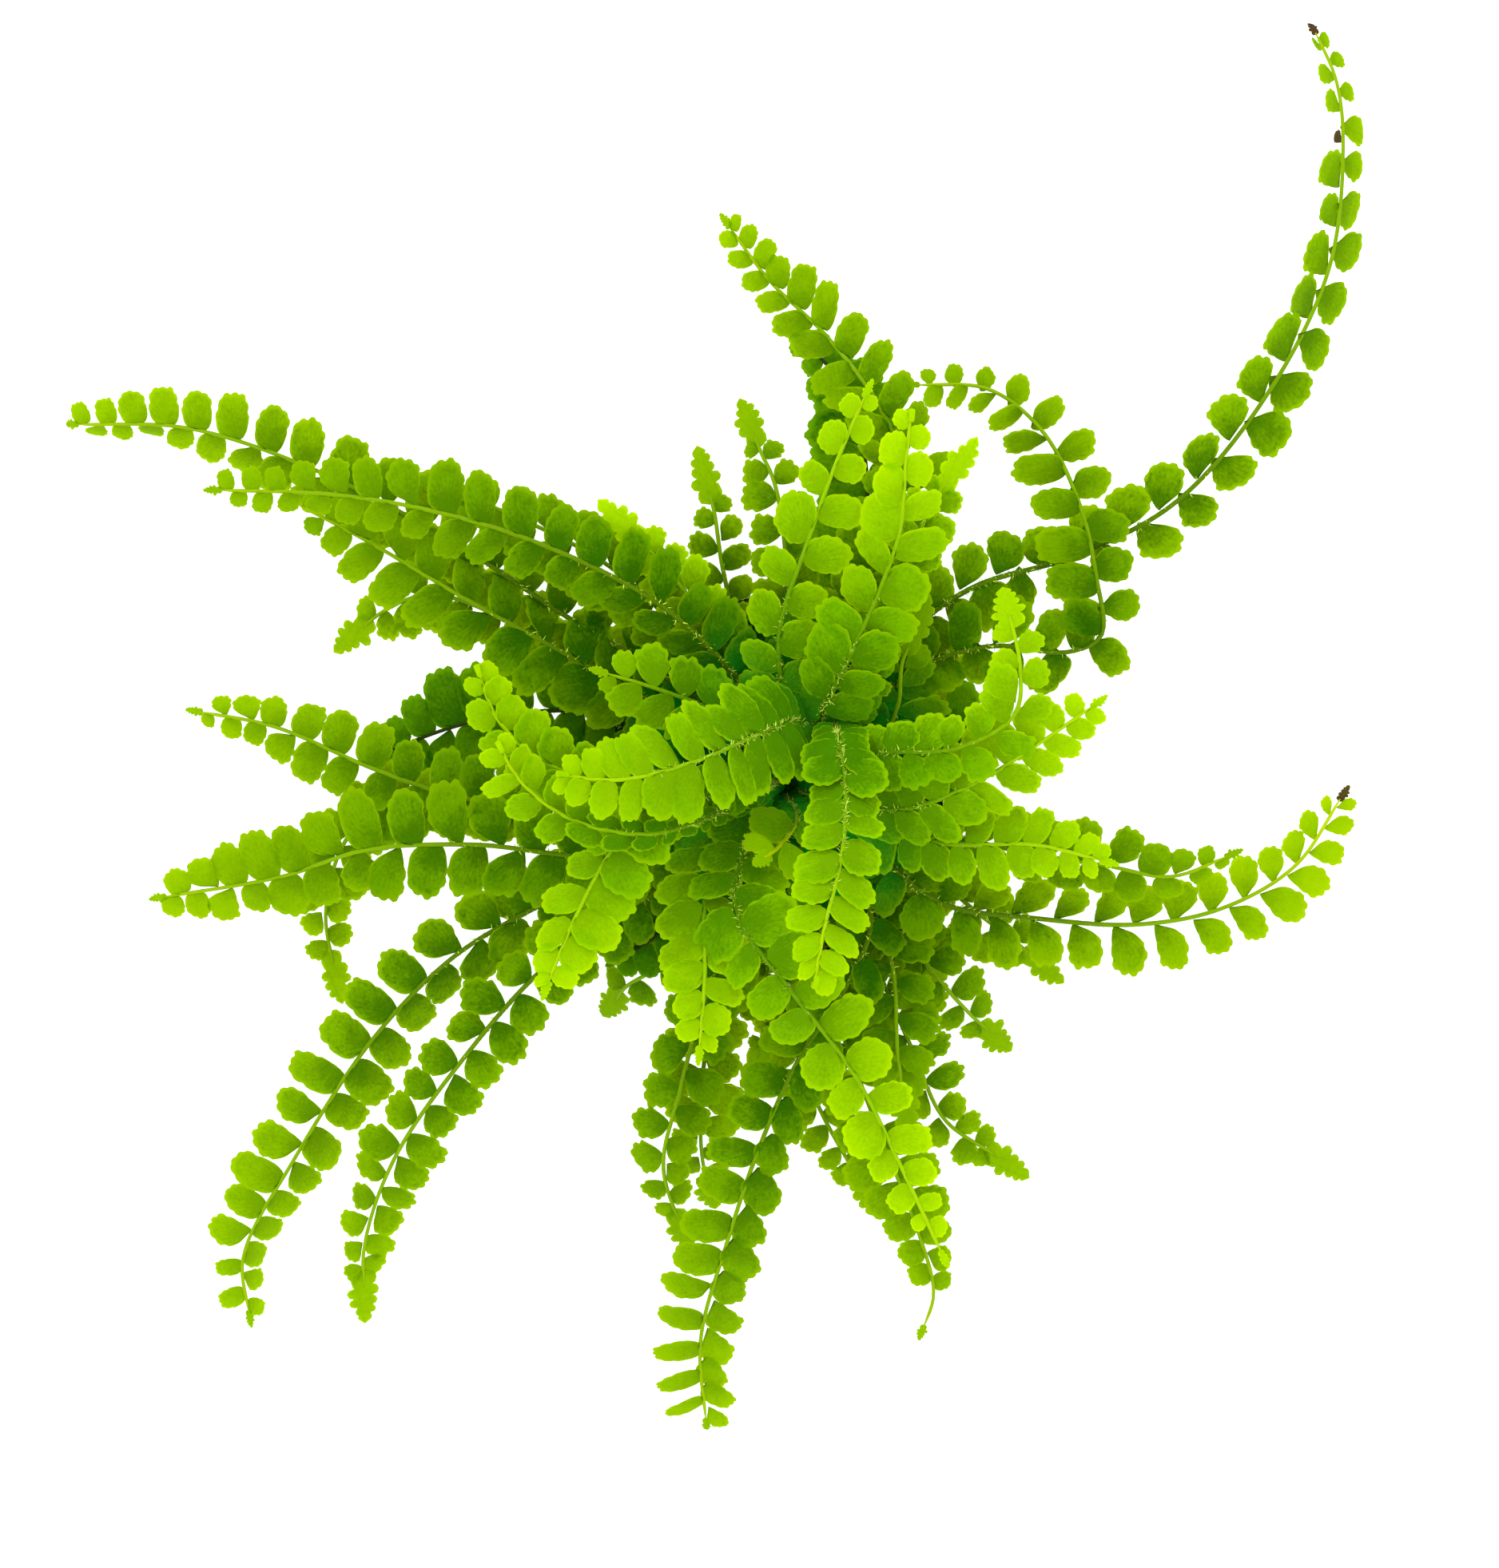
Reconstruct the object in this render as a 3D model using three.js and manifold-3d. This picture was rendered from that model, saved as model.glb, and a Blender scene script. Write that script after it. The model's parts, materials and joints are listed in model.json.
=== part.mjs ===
// Potted fishbone fern, button-leaved form, in a small round nursery pot.
// Millimetres, +Z up. The origin is the middle of the pot's base, on the surface it stands on.
// Each frond is one closed solid: a three-sided rib with thin leaflets grown out of its two sides.
import * as THREE from 'three';
import { mergeVertices } from 'three/addons/utils/BufferGeometryUtils.js';
import Module from 'manifold-3d';

const wasm = await Module();
wasm.setup();

// Pot and soil
const POT_HEIGHT = 58;
const POT_RIM_DIAMETER = 69;
const POT_BASE_DIAMETER = 49;
const POT_WALL = 1.4;
const POT_FLOOR = 1.8;
const RIM_BAND_HEIGHT = 8;
const RIM_BAND_STEP = 1.5;
const RIM_BAND_DRAFT = 0.4;
const BASE_CHAMFER = 1;
const DRAIN_HOLES = 6;
const DRAIN_DIAMETER = 6;
const DRAIN_CIRCLE = 34;
const DRAIN_SIDES = 8;
const POT_SIDES = 24;
const SOIL_TOP = 51;
const FIT_GAP = 0.3;

// Ribs
const FOOT_DEPTH = 7;
const FOOT_RISE = 12;
const FOOT_HOLE_RADIUS = 1.8;
const FOOT_HOLE_SIDES = 4;
const STALK_WIDTH = 1.3;
const RIB_TIP_WIDTH = 0.8;
const RIB_HEIGHT = 0.85;
const BARE_STEP = 11;
const ROUTE_STEP = 0.5;
const HEADING_CLEAR = 3;
const BEND_SPAN = 4;
// The rib stops short of its route, and its last bit is a bare neck for the end leaflet
const TIP_BARE = 0.8;
const TIP_NECK = 1.5;

// Leaflets. Angles are in degrees. The leaflets of these solids are fewer and wider than the
// plant's: they stand PITCH_STRETCH times as far apart and fill LEAFLET_FILL of that distance, but
// are at most WIDEST times as wide as long, and reach at most TIP_ROOM past the leafy rib.
const BLADE = 0.62;
const PITCH_STRETCH = 1.4;
const LEAFLET_FILL = 0.9;
const BASE_LEAN = 4;
const TIP_LEAN = 16;
const LOBED_TIP_LEAN = 34;
const LEAN_SPREAD = 8;
const TILT_SPREAD = 0.12;
const LENGTH_SPREAD = 0.14;
const BEND_ROOM = 0.8;
const SAG = 0.11;
const SHINGLE = 0.5;
const MIN_LEAFLET = 1.6;
const MIN_SPAN = 0.6;
const TIP_ROOM = 0.7;
const WIDEST = 1.3;
// Length along the rib: the first leaflets' share, how soon it is full, where it starts to fade,
// and how much is lost at the tip of a pointed and of a lobed frond
const FIRST_SHARE = 0.66;
const FILLING_RATE = 1.6;
const FADE_START = 0.45;
const FADE_POWER = 1.5;
const POINTED_FADE = 0.72;
const LOBED_FADE = 0.5;
const TERMINAL_LOBED = 7;
const TERMINAL_YOUNG = 2.6;
const TIP_PITCH = 0.68;
const ROUND_LENGTH = 8.2;

// Layering: a frond is laid over the ones listed before it
const LAYER_CELL = 1;
const LAYER_HALF = 170;
const LAYER_GAP = 0.75;
const LIFT_SLOPE = 0.9;
const LIFT_SMOOTH = 5;
const LIFT_START = 0.8;
const LIFT_FULL = 2;
// Points that stand for a leaflet: along and out, with a narrower neck near the rib
const COVER_ALONG = 6;
const COVER_OUT = 7;
const COVER_FIRST = 0.1;
const COVER_NECK = 0.35;
const COVER_NECK_WIDTH = 0.6;
const RIM_COVER = [-4, 1];

const LOOKS = {
  young: { color: 0x9ad400, roughness: 0.55 },
  mature: { color: 0x66a00a, roughness: 0.5 },
  shaded: { color: 0x3f7a08, roughness: 0.5 },
};

// One row for each frond, lowest layer first.
// foot: where the stalk stands in the soil, x and y.
// way: points of the rib above the soil, x, y and z.
// bare: distance from the foot, in plan, at which the leaflets begin.
// pitch: distance between leaflets on one side; reach: length of the longest leaflet.
// roll: turn of the blade about its rib in degrees, left side up.
const FRONDS = [
  { name: 'frond_west_low', look: 'shaded', foot: [-16.5, 4.1], bare: 16, pitch: 6.6, reach: 8.6,
    roll: 0, lobed: false, way: [[-27, 8, 63], [-39, 12, 65], [-59, 10, 63], [-77, 4, 54]] },
  { name: 'frond_west_hook', look: 'mature', foot: [-15, 8], bare: 42, pitch: 6.2, reach: 6.5,
    roll: 0, lobed: true, way: [[-30, 17, 64], [-48, 27, 68], [-66, 34, 64], [-76, 31, 58], [-85, 23, 50]] },
  { name: 'frond_north_fork', look: 'mature', foot: [-6.4, 15.8], bare: 14, pitch: 5.4, reach: 5,
    roll: 0, lobed: true, way: [[-9, 26, 64], [-12, 40, 67], [-14, 52, 65], [-18, 60, 60]] },
  { name: 'frond_north_lobed', look: 'mature', foot: [-1.2, 17], bare: 14, pitch: 6.4, reach: 5.8,
    roll: 0, lobed: true, way: [[0, 28, 64], [0, 42, 67], [-2, 55, 64], [-5, 62, 60], [-8, 71, 54]] },
  { name: 'frond_north_low', look: 'shaded', foot: [4.1, 16.5], bare: 16, pitch: 6.6, reach: 7.4,
    roll: 0, lobed: false, way: [[10, 27, 63], [15, 42, 66], [15, 60, 66], [12, 72, 62], [3, 83, 56]] },
  { name: 'frond_east_stub', look: 'mature', foot: [14.3, 9.3], bare: 9, pitch: 6, reach: 5.6,
    roll: 0, lobed: true, way: [[21, 13, 66], [27, 18, 72], [31, 25, 77], [31, 32, 80]] },
  { name: 'frond_east_low', look: 'shaded', foot: [16.6, 3.5], bare: 12, pitch: 6.6, reach: 8,
    roll: 0, lobed: true, way: [[25, 6, 64], [36, 6, 68], [47, 7, 67]] },
  { name: 'frond_southeast_hidden', look: 'mature', foot: [15.1, -7.7], bare: 20, pitch: 6.6, reach: 6.4,
    roll: 0, lobed: true, way: [[24, -15, 64], [35, -25, 67], [44, -32, 63], [52, -39, 56]] },
  { name: 'frond_south_broad', look: 'mature', foot: [12.6, -11.4], bare: 13, pitch: 6.6, reach: 6.6,
    roll: 0, lobed: true, way: [[20, -20, 64], [26, -32, 65], [29, -45, 60]] },
  { name: 'frond_southeast_lobed', look: 'mature', foot: [9.8, -13.9], bare: 14, pitch: 6.2, reach: 6.6,
    roll: 0, lobed: true, way: [[20, -27, 64], [31, -41, 64], [38, -48, 59], [44, -52, 53]] },
  { name: 'frond_south_far_lobed', look: 'mature', foot: [6.1, -15.9], bare: 20, pitch: 6.2, reach: 6.2,
    roll: 0, lobed: true, way: [[16, -34, 65], [24, -52, 65], [30, -65, 60], [38, -71, 55], [46, -76, 49]] },
  { name: 'frond_south_lobed', look: 'mature', foot: [1.5, -16.9], bare: 15, pitch: 5.8, reach: 6.6,
    roll: 0, lobed: true, way: [[0, -32, 64], [1, -48, 66], [6, -62, 63], [13, -75, 57], [18, -83, 51]] },
  { name: 'frond_south_stub', look: 'mature', foot: [-2.7, -16.8], bare: 18, pitch: 7.5, reach: 3.8,
    roll: 0, lobed: true, way: [[-3, -30, 63], [-4, -45, 62], [-5, -53, 59], [-9, -60, 55]] },
  { name: 'frond_southwest_under', look: 'mature', foot: [-6.4, -15.8], bare: 16, pitch: 6.6, reach: 7,
    roll: 0, lobed: true, way: [[-11, -34, 64], [-15, -52, 64], [-16, -66, 60], [-15, -76, 54],
      [-11, -84, 48]] },
  { name: 'frond_southwest_stub', look: 'mature', foot: [-10, -13.8], bare: 15, pitch: 6.6, reach: 6.4,
    roll: 0, lobed: true, way: [[-17, -27, 64], [-24, -36, 63], [-31, -41, 59], [-33, -50, 53]] },
  { name: 'frond_west_hanging', look: 'mature', foot: [-16.6, -3.5], bare: 44, pitch: 6.4, reach: 6.6,
    roll: -8, lobed: true, way: [[-30, -7, 65], [-52, -8, 69], [-72, -5, 68], [-82, -11, 64],
      [-87, -26, 57], [-84, -43, 48]] },
  { name: 'frond_southwest_short', look: 'shaded', foot: [-6.3, -10.8], bare: 11, pitch: 5.2, reach: 6,
    roll: 0, lobed: false, way: [[-15, -20, 66], [-24, -30, 66], [-32, -35, 61]] },
  { name: 'frond_south_curling', look: 'mature', foot: [-1.7, -12.4], bare: 14, pitch: 6.4, reach: 7,
    roll: 8, lobed: true, way: [[-8, -27, 68], [-15, -42, 74], [-20, -60, 74], [-23, -73, 68],
      [-21, -82, 61], [-17, -90, 54]] },
  { name: 'frond_west_middle', look: 'mature', foot: [-12.5, -1.1], bare: 14, pitch: 6.4, reach: 8.4,
    roll: 8, lobed: false, way: [[-28, -4, 69], [-45, -6, 75], [-62, -4, 77], [-77, 1, 75],
      [-96, 9, 69], [-111, 12, 63]] },
  { name: 'frond_southwest_long', look: 'mature', foot: [-14.1, -9.5], bare: 14, pitch: 6.6, reach: 8.8,
    roll: 10, lobed: false, way: [[-30, -17, 70], [-47, -25, 76], [-62, -34, 77], [-77, -49, 72],
      [-93, -73, 61], [-103, -92, 50], [-102, -103, 46]] },
  { name: 'frond_southwest_second', look: 'mature', foot: [-9.3, -8.4], bare: 17, pitch: 6.6, reach: 7.6,
    roll: -8, lobed: true, way: [[-25, -22, 70], [-45, -36, 75], [-61, -54, 73], [-74, -73, 64],
      [-80, -91, 53], [-79, -104, 46]] },
  { name: 'frond_south_under_arch', look: 'mature', foot: [4.9, -11.5], bare: 22, pitch: 6.4, reach: 7.6,
    roll: 0, lobed: false, way: [[6, -26, 69], [10, -46, 74], [18, -68, 75], [25, -86, 70],
      [28, -98, 64], [26, -105, 60]] },
  { name: 'frond_south_inner', look: 'mature', foot: [8.4, -9.3], bare: 16, pitch: 6.4, reach: 7.4,
    roll: 0, lobed: true, way: [[15, -22, 69], [20, -36, 74], [21, -52, 72], [23, -67, 64]] },
  { name: 'frond_south_long', look: 'mature', foot: [4.9, -7], bare: 19, pitch: 6.8, reach: 8.8,
    roll: 6, lobed: false, way: [[13, -18, 74], [16, -28, 80], [11, -40, 84], [2, -54, 85],
      [-5, -70, 81], [-11, -88, 73], [-16, -107, 62], [-15, -123, 54]] },
  { name: 'frond_east_long', look: 'mature', foot: [10.8, -6.3], bare: 13, pitch: 6.6, reach: 8,
    roll: -10, lobed: false, way: [[19, -16, 70], [29, -24, 76], [48, -27, 82], [66, -28, 82],
      [82, -25, 77], [96, -17, 71], [105, -4, 66]] },
  { name: 'frond_east_behind', look: 'mature', foot: [12.4, -1.7], bare: 20, pitch: 6, reach: 6.4,
    roll: 0, lobed: false, way: [[25, -9, 74], [42, -14, 84], [60, -17, 88], [72, -19, 87], [83, -15, 86]] },
  { name: 'frond_northeast_long', look: 'mature', foot: [10.9, 13], bare: 16, pitch: 7, reach: 8.2,
    roll: 12, lobed: false, way: [[21, 25, 68], [35, 35, 73], [54, 41, 77], [73, 51, 80], [90, 71, 80],
      [102, 95, 75], [105, 118, 69], [104, 131, 64], [100, 141, 60]] },
  { name: 'frond_northeast_elbow', look: 'mature', foot: [12.1, 7], bare: 16, pitch: 6.8, reach: 8,
    roll: 20, lobed: false, way: [[23, 19, 70], [38, 24, 76], [53, 23, 80], [59, 26, 82], [58, 37, 85],
      [55, 50, 87], [48, 64, 87], [38, 72, 85], [24, 73, 82]] },
  { name: 'frond_north_long', look: 'mature', foot: [3.4, 12.6], bare: 16, pitch: 6.6, reach: 8,
    roll: -8, lobed: false, way: [[9, 24, 69], [17, 40, 76], [22, 56, 79], [18, 68, 79], [8, 82, 76],
      [-3, 93, 71], [-11, 104, 66]] },
  { name: 'frond_west_long', look: 'mature', foot: [-10, 7.5], bare: 17, pitch: 6.8, reach: 8.6,
    roll: -8, lobed: false, way: [[-22, 18, 70], [-40, 29, 78], [-63, 44, 84], [-88, 57, 83],
      [-112, 65, 77], [-134, 66, 70]] },
  { name: 'frond_west_straight', look: 'mature', foot: [-11.7, 4.3], bare: 18, pitch: 6.6, reach: 8.6,
    roll: -6, lobed: false, way: [[-24, 13, 70], [-40, 22, 76], [-60, 33, 79], [-77, 43, 77],
      [-92, 51, 72]] },
  { name: 'frond_northwest_behind', look: 'mature', foot: [-7, 10.4], bare: 20, pitch: 6.6, reach: 7.6,
    roll: 0, lobed: true, way: [[-18, 25, 76], [-33, 39, 86], [-50, 48, 88], [-68, 55, 85]] },
  { name: 'frond_northwest_young', look: 'young', foot: [-4, 7.5], bare: 10, pitch: 6, reach: 6.6,
    roll: 0, lobed: true, way: [[-12, 24, 80], [-22, 38, 90], [-34, 50, 95]] },
  { name: 'frond_west_high', look: 'mature', foot: [-3.8, 4.2], bare: 9, pitch: 6.2, reach: 8,
    roll: 8, lobed: false, way: [[-10, 19, 78], [-24, 32, 90], [-46, 43, 98], [-66, 49, 100],
      [-84, 52, 98], [-106, 53, 92]] },
  { name: 'frond_heart_north', look: 'mature', foot: [-0.9, 9], bare: 9, pitch: 6, reach: 7,
    roll: 0, lobed: true, way: [[3, 22, 78], [8, 29, 84], [16, 29, 87], [22, 26, 88]] },
  { name: 'frond_heart_northeast', look: 'mature', foot: [9.3, 2], bare: 7, pitch: 6, reach: 8,
    roll: 0, lobed: true, way: [[17, 5, 76], [21, 13, 84], [22, 22, 89], [28, 31, 93]] },
  { name: 'frond_heart_south', look: 'mature', foot: [0.7, -8.5], bare: 6, pitch: 6, reach: 6,
    roll: 0, lobed: true, way: [[3, -16, 76], [2, -26, 80]] },
  { name: 'frond_west_broad', look: 'mature', foot: [-7, -4.9], bare: 14, pitch: 6.4, reach: 9.6,
    roll: -6, lobed: false, way: [[-20, -11, 82], [-36, -15, 92], [-58, -13, 96], [-78, -14, 93],
      [-94, -19, 86], [-117, -23, 78]] },
  { name: 'frond_north_tall', look: 'young', foot: [0, 4.8], bare: 7, pitch: 6.6, reach: 9.4,
    roll: -8, lobed: false, way: [[-1, 17, 82], [-1, 28, 91], [4, 43, 97], [9, 57, 99], [15, 71, 99]] },
  { name: 'frond_north_side_shoot', look: 'young', foot: [7.3, 5.3], bare: 38, pitch: 5.6, reach: 5.4,
    roll: 0, lobed: true, way: [[14, 14, 80], [20, 30, 93], [24, 42, 100], [28, 52, 103], [36, 60, 106]] },
  { name: 'frond_north_bright', look: 'young', foot: [3, 3.6], bare: 10, pitch: 7, reach: 8.6,
    roll: 6, lobed: false, way: [[9, 16, 84], [16, 31, 99], [21, 45, 109], [22, 57, 114], [23, 67, 116]] },
  { name: 'frond_heart_west', look: 'young', foot: [-7.4, 4.3], bare: 7, pitch: 5.8, reach: 7.6,
    roll: 0, lobed: false, way: [[-14, 12, 78], [-24, 16, 88], [-34, 19, 93]] },
  { name: 'frond_south_upright', look: 'young', foot: [-8.5, -0.7], bare: 7, pitch: 6, reach: 8,
    roll: 0, lobed: false, way: [[-12, -8, 80], [-15, -22, 96], [-15, -37, 107], [-16, -51, 112]] },
  { name: 'frond_south_arch', look: 'young', foot: [-3, -4.4], bare: 7, pitch: 6.8, reach: 8.4,
    roll: 6, lobed: false, way: [[-8, -15, 80], [-9, -26, 92], [1, -40, 101], [13, -56, 107],
      [22, -74, 108], [29, -89, 105]] },
  { name: 'frond_east_bright', look: 'young', foot: [7.7, -3.6], bare: 9, pitch: 5.8, reach: 7.4,
    roll: -8, lobed: false, way: [[18, -10, 82], [31, -13, 94], [46, -13, 101], [59, -16, 104]] },
  { name: 'frond_east_rising', look: 'young', foot: [3.4, -3.4], bare: 9, pitch: 6.2, reach: 8.4,
    roll: 8, lobed: false, way: [[13, -6, 80], [24, -6, 94], [36, -1, 104], [47, 6, 110], [57, 13, 114]] },
  { name: 'frond_east_turning', look: 'young', foot: [4.8, -0.2], bare: 10, pitch: 6.8, reach: 7,
    roll: 0, lobed: true, way: [[18, 4, 84], [32, 5, 97], [42, 11, 104], [43, 20, 109], [40, 34, 114]] },
  { name: 'frond_west_twin', look: 'young', foot: [-1, 1.8], bare: 22, pitch: 6.4, reach: 7.6,
    roll: 0, lobed: false, way: [[-12, -1, 88], [-28, -3, 102], [-44, 2, 109], [-53, 10, 112],
      [-57, 20, 114]] },
  { name: 'frond_southwest_bright', look: 'young', foot: [-4.6, -1.4], bare: 14, pitch: 5.6, reach: 9,
    roll: 10, lobed: false, way: [[-15, -4, 88], [-26, -6, 100], [-34, -17, 109], [-40, -29, 114],
      [-44, -39, 117]] },
  { name: 'frond_west_coiling', look: 'young', foot: [-1.5, -1.2], bare: 24, pitch: 6, reach: 9,
    roll: 0, lobed: false, way: [[-12, -7, 92], [-26, -11, 106], [-40, -8, 113], [-49, -1, 117],
      [-53, 6, 119]] },
  { name: 'frond_heart_yellow', look: 'young', foot: [0.5, -4.8], bare: 5, pitch: 6, reach: 6,
    roll: 0, lobed: true, way: [[2, -9, 84], [-2, -14, 94], [-7, -17, 97]] },
  { name: 'frond_crown_west', look: 'young', foot: [3.6, 8.4], bare: 3, pitch: 5.4, reach: 8.4,
    roll: 8, lobed: false, way: [[1, 10, 90], [-6, 7, 106], [-18, 2, 118], [-31, -1, 125], [-42, 0, 128]] },
  { name: 'frond_crown_south', look: 'young', foot: [8.3, 9.2], bare: 3, pitch: 5.8, reach: 8,
    roll: -8, lobed: false, way: [[10, 6, 92], [11, -5, 108], [10, -16, 117], [7, -28, 123], [5, -39, 126]] },
];

const UP = new THREE.Vector3(0, 0, 1);

// A repeatable draw between 0 and 1 for one leaflet of one frond
function draw(frond, leaflet, salt) {
  const wave = Math.sin(frond * 12.9898 + leaflet * 78.233 + salt * 37.719) * 43758.5453;
  return wave - Math.floor(wave);
}

// The rib's line, sampled every ROUTE_STEP, with one heading until it is clear of its foot
function layRoute(row) {
  const [x, y] = row.foot;
  const footBottom = SOIL_TOP - FOOT_DEPTH + FIT_GAP;
  const points = [0, 0.5, 1].map((f) => new THREE.Vector3(x, y, footBottom + f * FOOT_RISE));
  row.way.forEach((p) => points.push(new THREE.Vector3(...p)));
  const curve = new THREE.CatmullRomCurve3(points, false, 'centripetal');
  const count = Math.ceil(curve.getLength() / ROUTE_STEP);
  curve.arcLengthDivisions = count * 4;
  curve.updateArcLengths();
  const line = curve.getSpacedPoints(count);
  const headings = line.map((p, i) => {
    const a = line[Math.max(0, i - 1)];
    const b = line[Math.min(count, i + 1)];
    return new THREE.Vector3(b.x - a.x, b.y - a.y, 0);
  });
  const clear = line.findIndex((p) => Math.hypot(p.x - x, p.y - y) > HEADING_CLEAR);
  headings.forEach((h, i) => {
    if (i < clear) h.copy(headings[clear]);
    h.normalize();
  });
  return { line, headings, step: curve.getLength() / count, lift: new Array(count + 1).fill(0) };
}

// Place, direction, side and top direction of the rib at a distance along it
function frameAt(route, distance, roll) {
  const last = route.line.length - 1;
  const at = THREE.MathUtils.clamp(distance / route.step, 0, last);
  const i = Math.min(last - 1, Math.floor(at));
  const f = at - i;
  const raised = (k) => route.line[k].clone().setZ(route.line[k].z + route.lift[k]);
  const place = raised(i).lerp(raised(i + 1), f);
  const tangent = raised(Math.min(last, i + 2)).sub(raised(Math.max(0, i - 1))).normalize();
  const heading = route.headings[i].clone().lerp(route.headings[i + 1], f).normalize();
  const side = UP.clone().cross(heading);
  const top = tangent.clone().cross(side).normalize();
  const turn = THREE.MathUtils.degToRad(roll);
  side.applyAxisAngle(tangent, turn);
  top.applyAxisAngle(tangent, turn);
  const beyond = distance - THREE.MathUtils.clamp(distance, 0, last * route.step);
  place.addScaledVector(tangent, beyond);
  return { place, side, top };
}

// How tightly the rib bends in plan at a distance along it, left turns positive
function bendAt(route, distance) {
  const last = route.line.length - 1;
  const i = THREE.MathUtils.clamp(Math.round(distance / route.step), BEND_SPAN, last - BEND_SPAN);
  const a = route.headings[i - BEND_SPAN];
  const b = route.headings[i + BEND_SPAN];
  const turn = Math.atan2(a.x * b.y - a.y * b.x, a.dot(b));
  return turn / (2 * BEND_SPAN * route.step);
}

// Length of a leaflet compared with the longest, along the leafy part of the rib
function leafletShare(t, lobed) {
  const start = Math.min(1, FIRST_SHARE + FILLING_RATE * t);
  const fade = Math.max(0, (t - FADE_START) / (1 - FADE_START));
  return start * (1 - (lobed ? LOBED_FADE : POINTED_FADE) * fade ** FADE_POWER);
}

// Where each leaflet stands: its part of the rib, side, length, width and lean
function planLeaflets(row, index, route) {
  const total = (route.line.length - 1) * route.step;
  const [x, y] = row.foot;
  const first = route.line.findIndex((p) => Math.hypot(p.x - x, p.y - y) > row.bare);
  const start = first * route.step;
  const end = total - TIP_BARE - TIP_NECK;
  const leaflets = [];
  let at = start;
  let side = 1;
  while (at < end - MIN_SPAN) {
    const t = (at - start) / (end - start);
    const share = leafletShare(t, row.lobed);
    const pitch = PITCH_STRETCH * row.pitch * THREE.MathUtils.lerp(TIP_PITCH, 1, share);
    const span = Math.min(pitch / 2, end - at);
    const number = leaflets.length;
    const tipLean = row.lobed ? LOBED_TIP_LEAN : TIP_LEAN;
    const spread = (salt) => draw(index, number, salt) - 0.5;
    const lean = THREE.MathUtils.lerp(BASE_LEAN, tipLean, t ** 2) + LEAN_SPREAD * spread(1);
    const room = BEND_ROOM / Math.max(1e-6, side * bendAt(route, at + span / 2));
    const free = Math.min(row.reach * share * (1 + LENGTH_SPREAD * spread(2)), room);
    const length = Math.max(MIN_LEAFLET, free);
    const ahead = 2 * (end + TIP_ROOM - at) - span;
    leaflets.push({
      at,
      span,
      side,
      length,
      width: Math.min(LEAFLET_FILL * pitch, WIDEST * length, ahead),
      lean: THREE.MathUtils.degToRad(lean),
      tilt: TILT_SPREAD * spread(3),
    });
    at += span;
    side = -side;
  }
  return { start, end, leaflets };
}

// The outer corners of a large and a small leaflet, as shares of its width and length
const LARGE_CORNERS = [[-0.46, 0.36], [-0.3, 0.9], [0.32, 0.98], [0.5, 0.44]];
const SMALL_CORNERS = [[-0.48, 0.55], [0.06, 1], [0.5, 0.6]];
const LARGE_FACES = [[0, 1, 2], [0, 2, 3], [0, 3, 5], [5, 3, 4]];
const SMALL_FACES = [[0, 1, 2], [0, 2, 4], [4, 2, 3]];
// The end leaflet's corners: ahead and across, as shares of its size
const TERMINAL_CORNERS = [[0.4, 0.3], [1, 0], [0.4, -0.3]];

// A point of a leaflet: along and out are measured from the middle of its foot on the rib
function leafletPoint(route, roll, leaflet, along, out) {
  const u = along * Math.cos(leaflet.lean) + out * Math.sin(leaflet.lean);
  const v = out * Math.cos(leaflet.lean) - along * Math.sin(leaflet.lean);
  const frame = frameAt(route, leaflet.at + leaflet.span / 2 + u, roll);
  const share = out / leaflet.length;
  const sag = SAG * leaflet.length * share ** 2;
  const height = leaflet.tilt * out - sag + (SHINGLE * along) / leaflet.width;
  const point = frame.place.addScaledVector(frame.side, leaflet.side * v);
  point.addScaledVector(frame.top, height);
  return { point, top: frame.top };
}

// Heights of what is already laid, on a square grid in plan
const cells = Math.round((2 * LAYER_HALF) / LAYER_CELL);
const laid = new Float32Array(cells * cells).fill(-1);

function cellOf(x, y) {
  return [Math.round((x + LAYER_HALF) / LAYER_CELL), Math.round((y + LAYER_HALF) / LAYER_CELL)];
}

function heightBelow(x, y) {
  const [i, j] = cellOf(x, y);
  let height = -1;
  for (let a = i - 1; a <= i + 1; a += 1) {
    for (let b = j - 1; b <= j + 1; b += 1) height = Math.max(height, laid[a * cells + b]);
  }
  return height;
}

function layRim() {
  for (let a = 0; a < cells; a += 1) {
    for (let b = 0; b < cells; b += 1) {
      const radius = Math.hypot(a * LAYER_CELL - LAYER_HALF, b * LAYER_CELL - LAYER_HALF);
      const beyond = radius - POT_RIM_DIAMETER / 2;
      if (beyond > RIM_COVER[0] && beyond < RIM_COVER[1]) laid[a * cells + b] = POT_HEIGHT;
    }
  }
}

function terminalSize(row) {
  return row.lobed ? TERMINAL_LOBED : TERMINAL_YOUNG;
}

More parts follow.
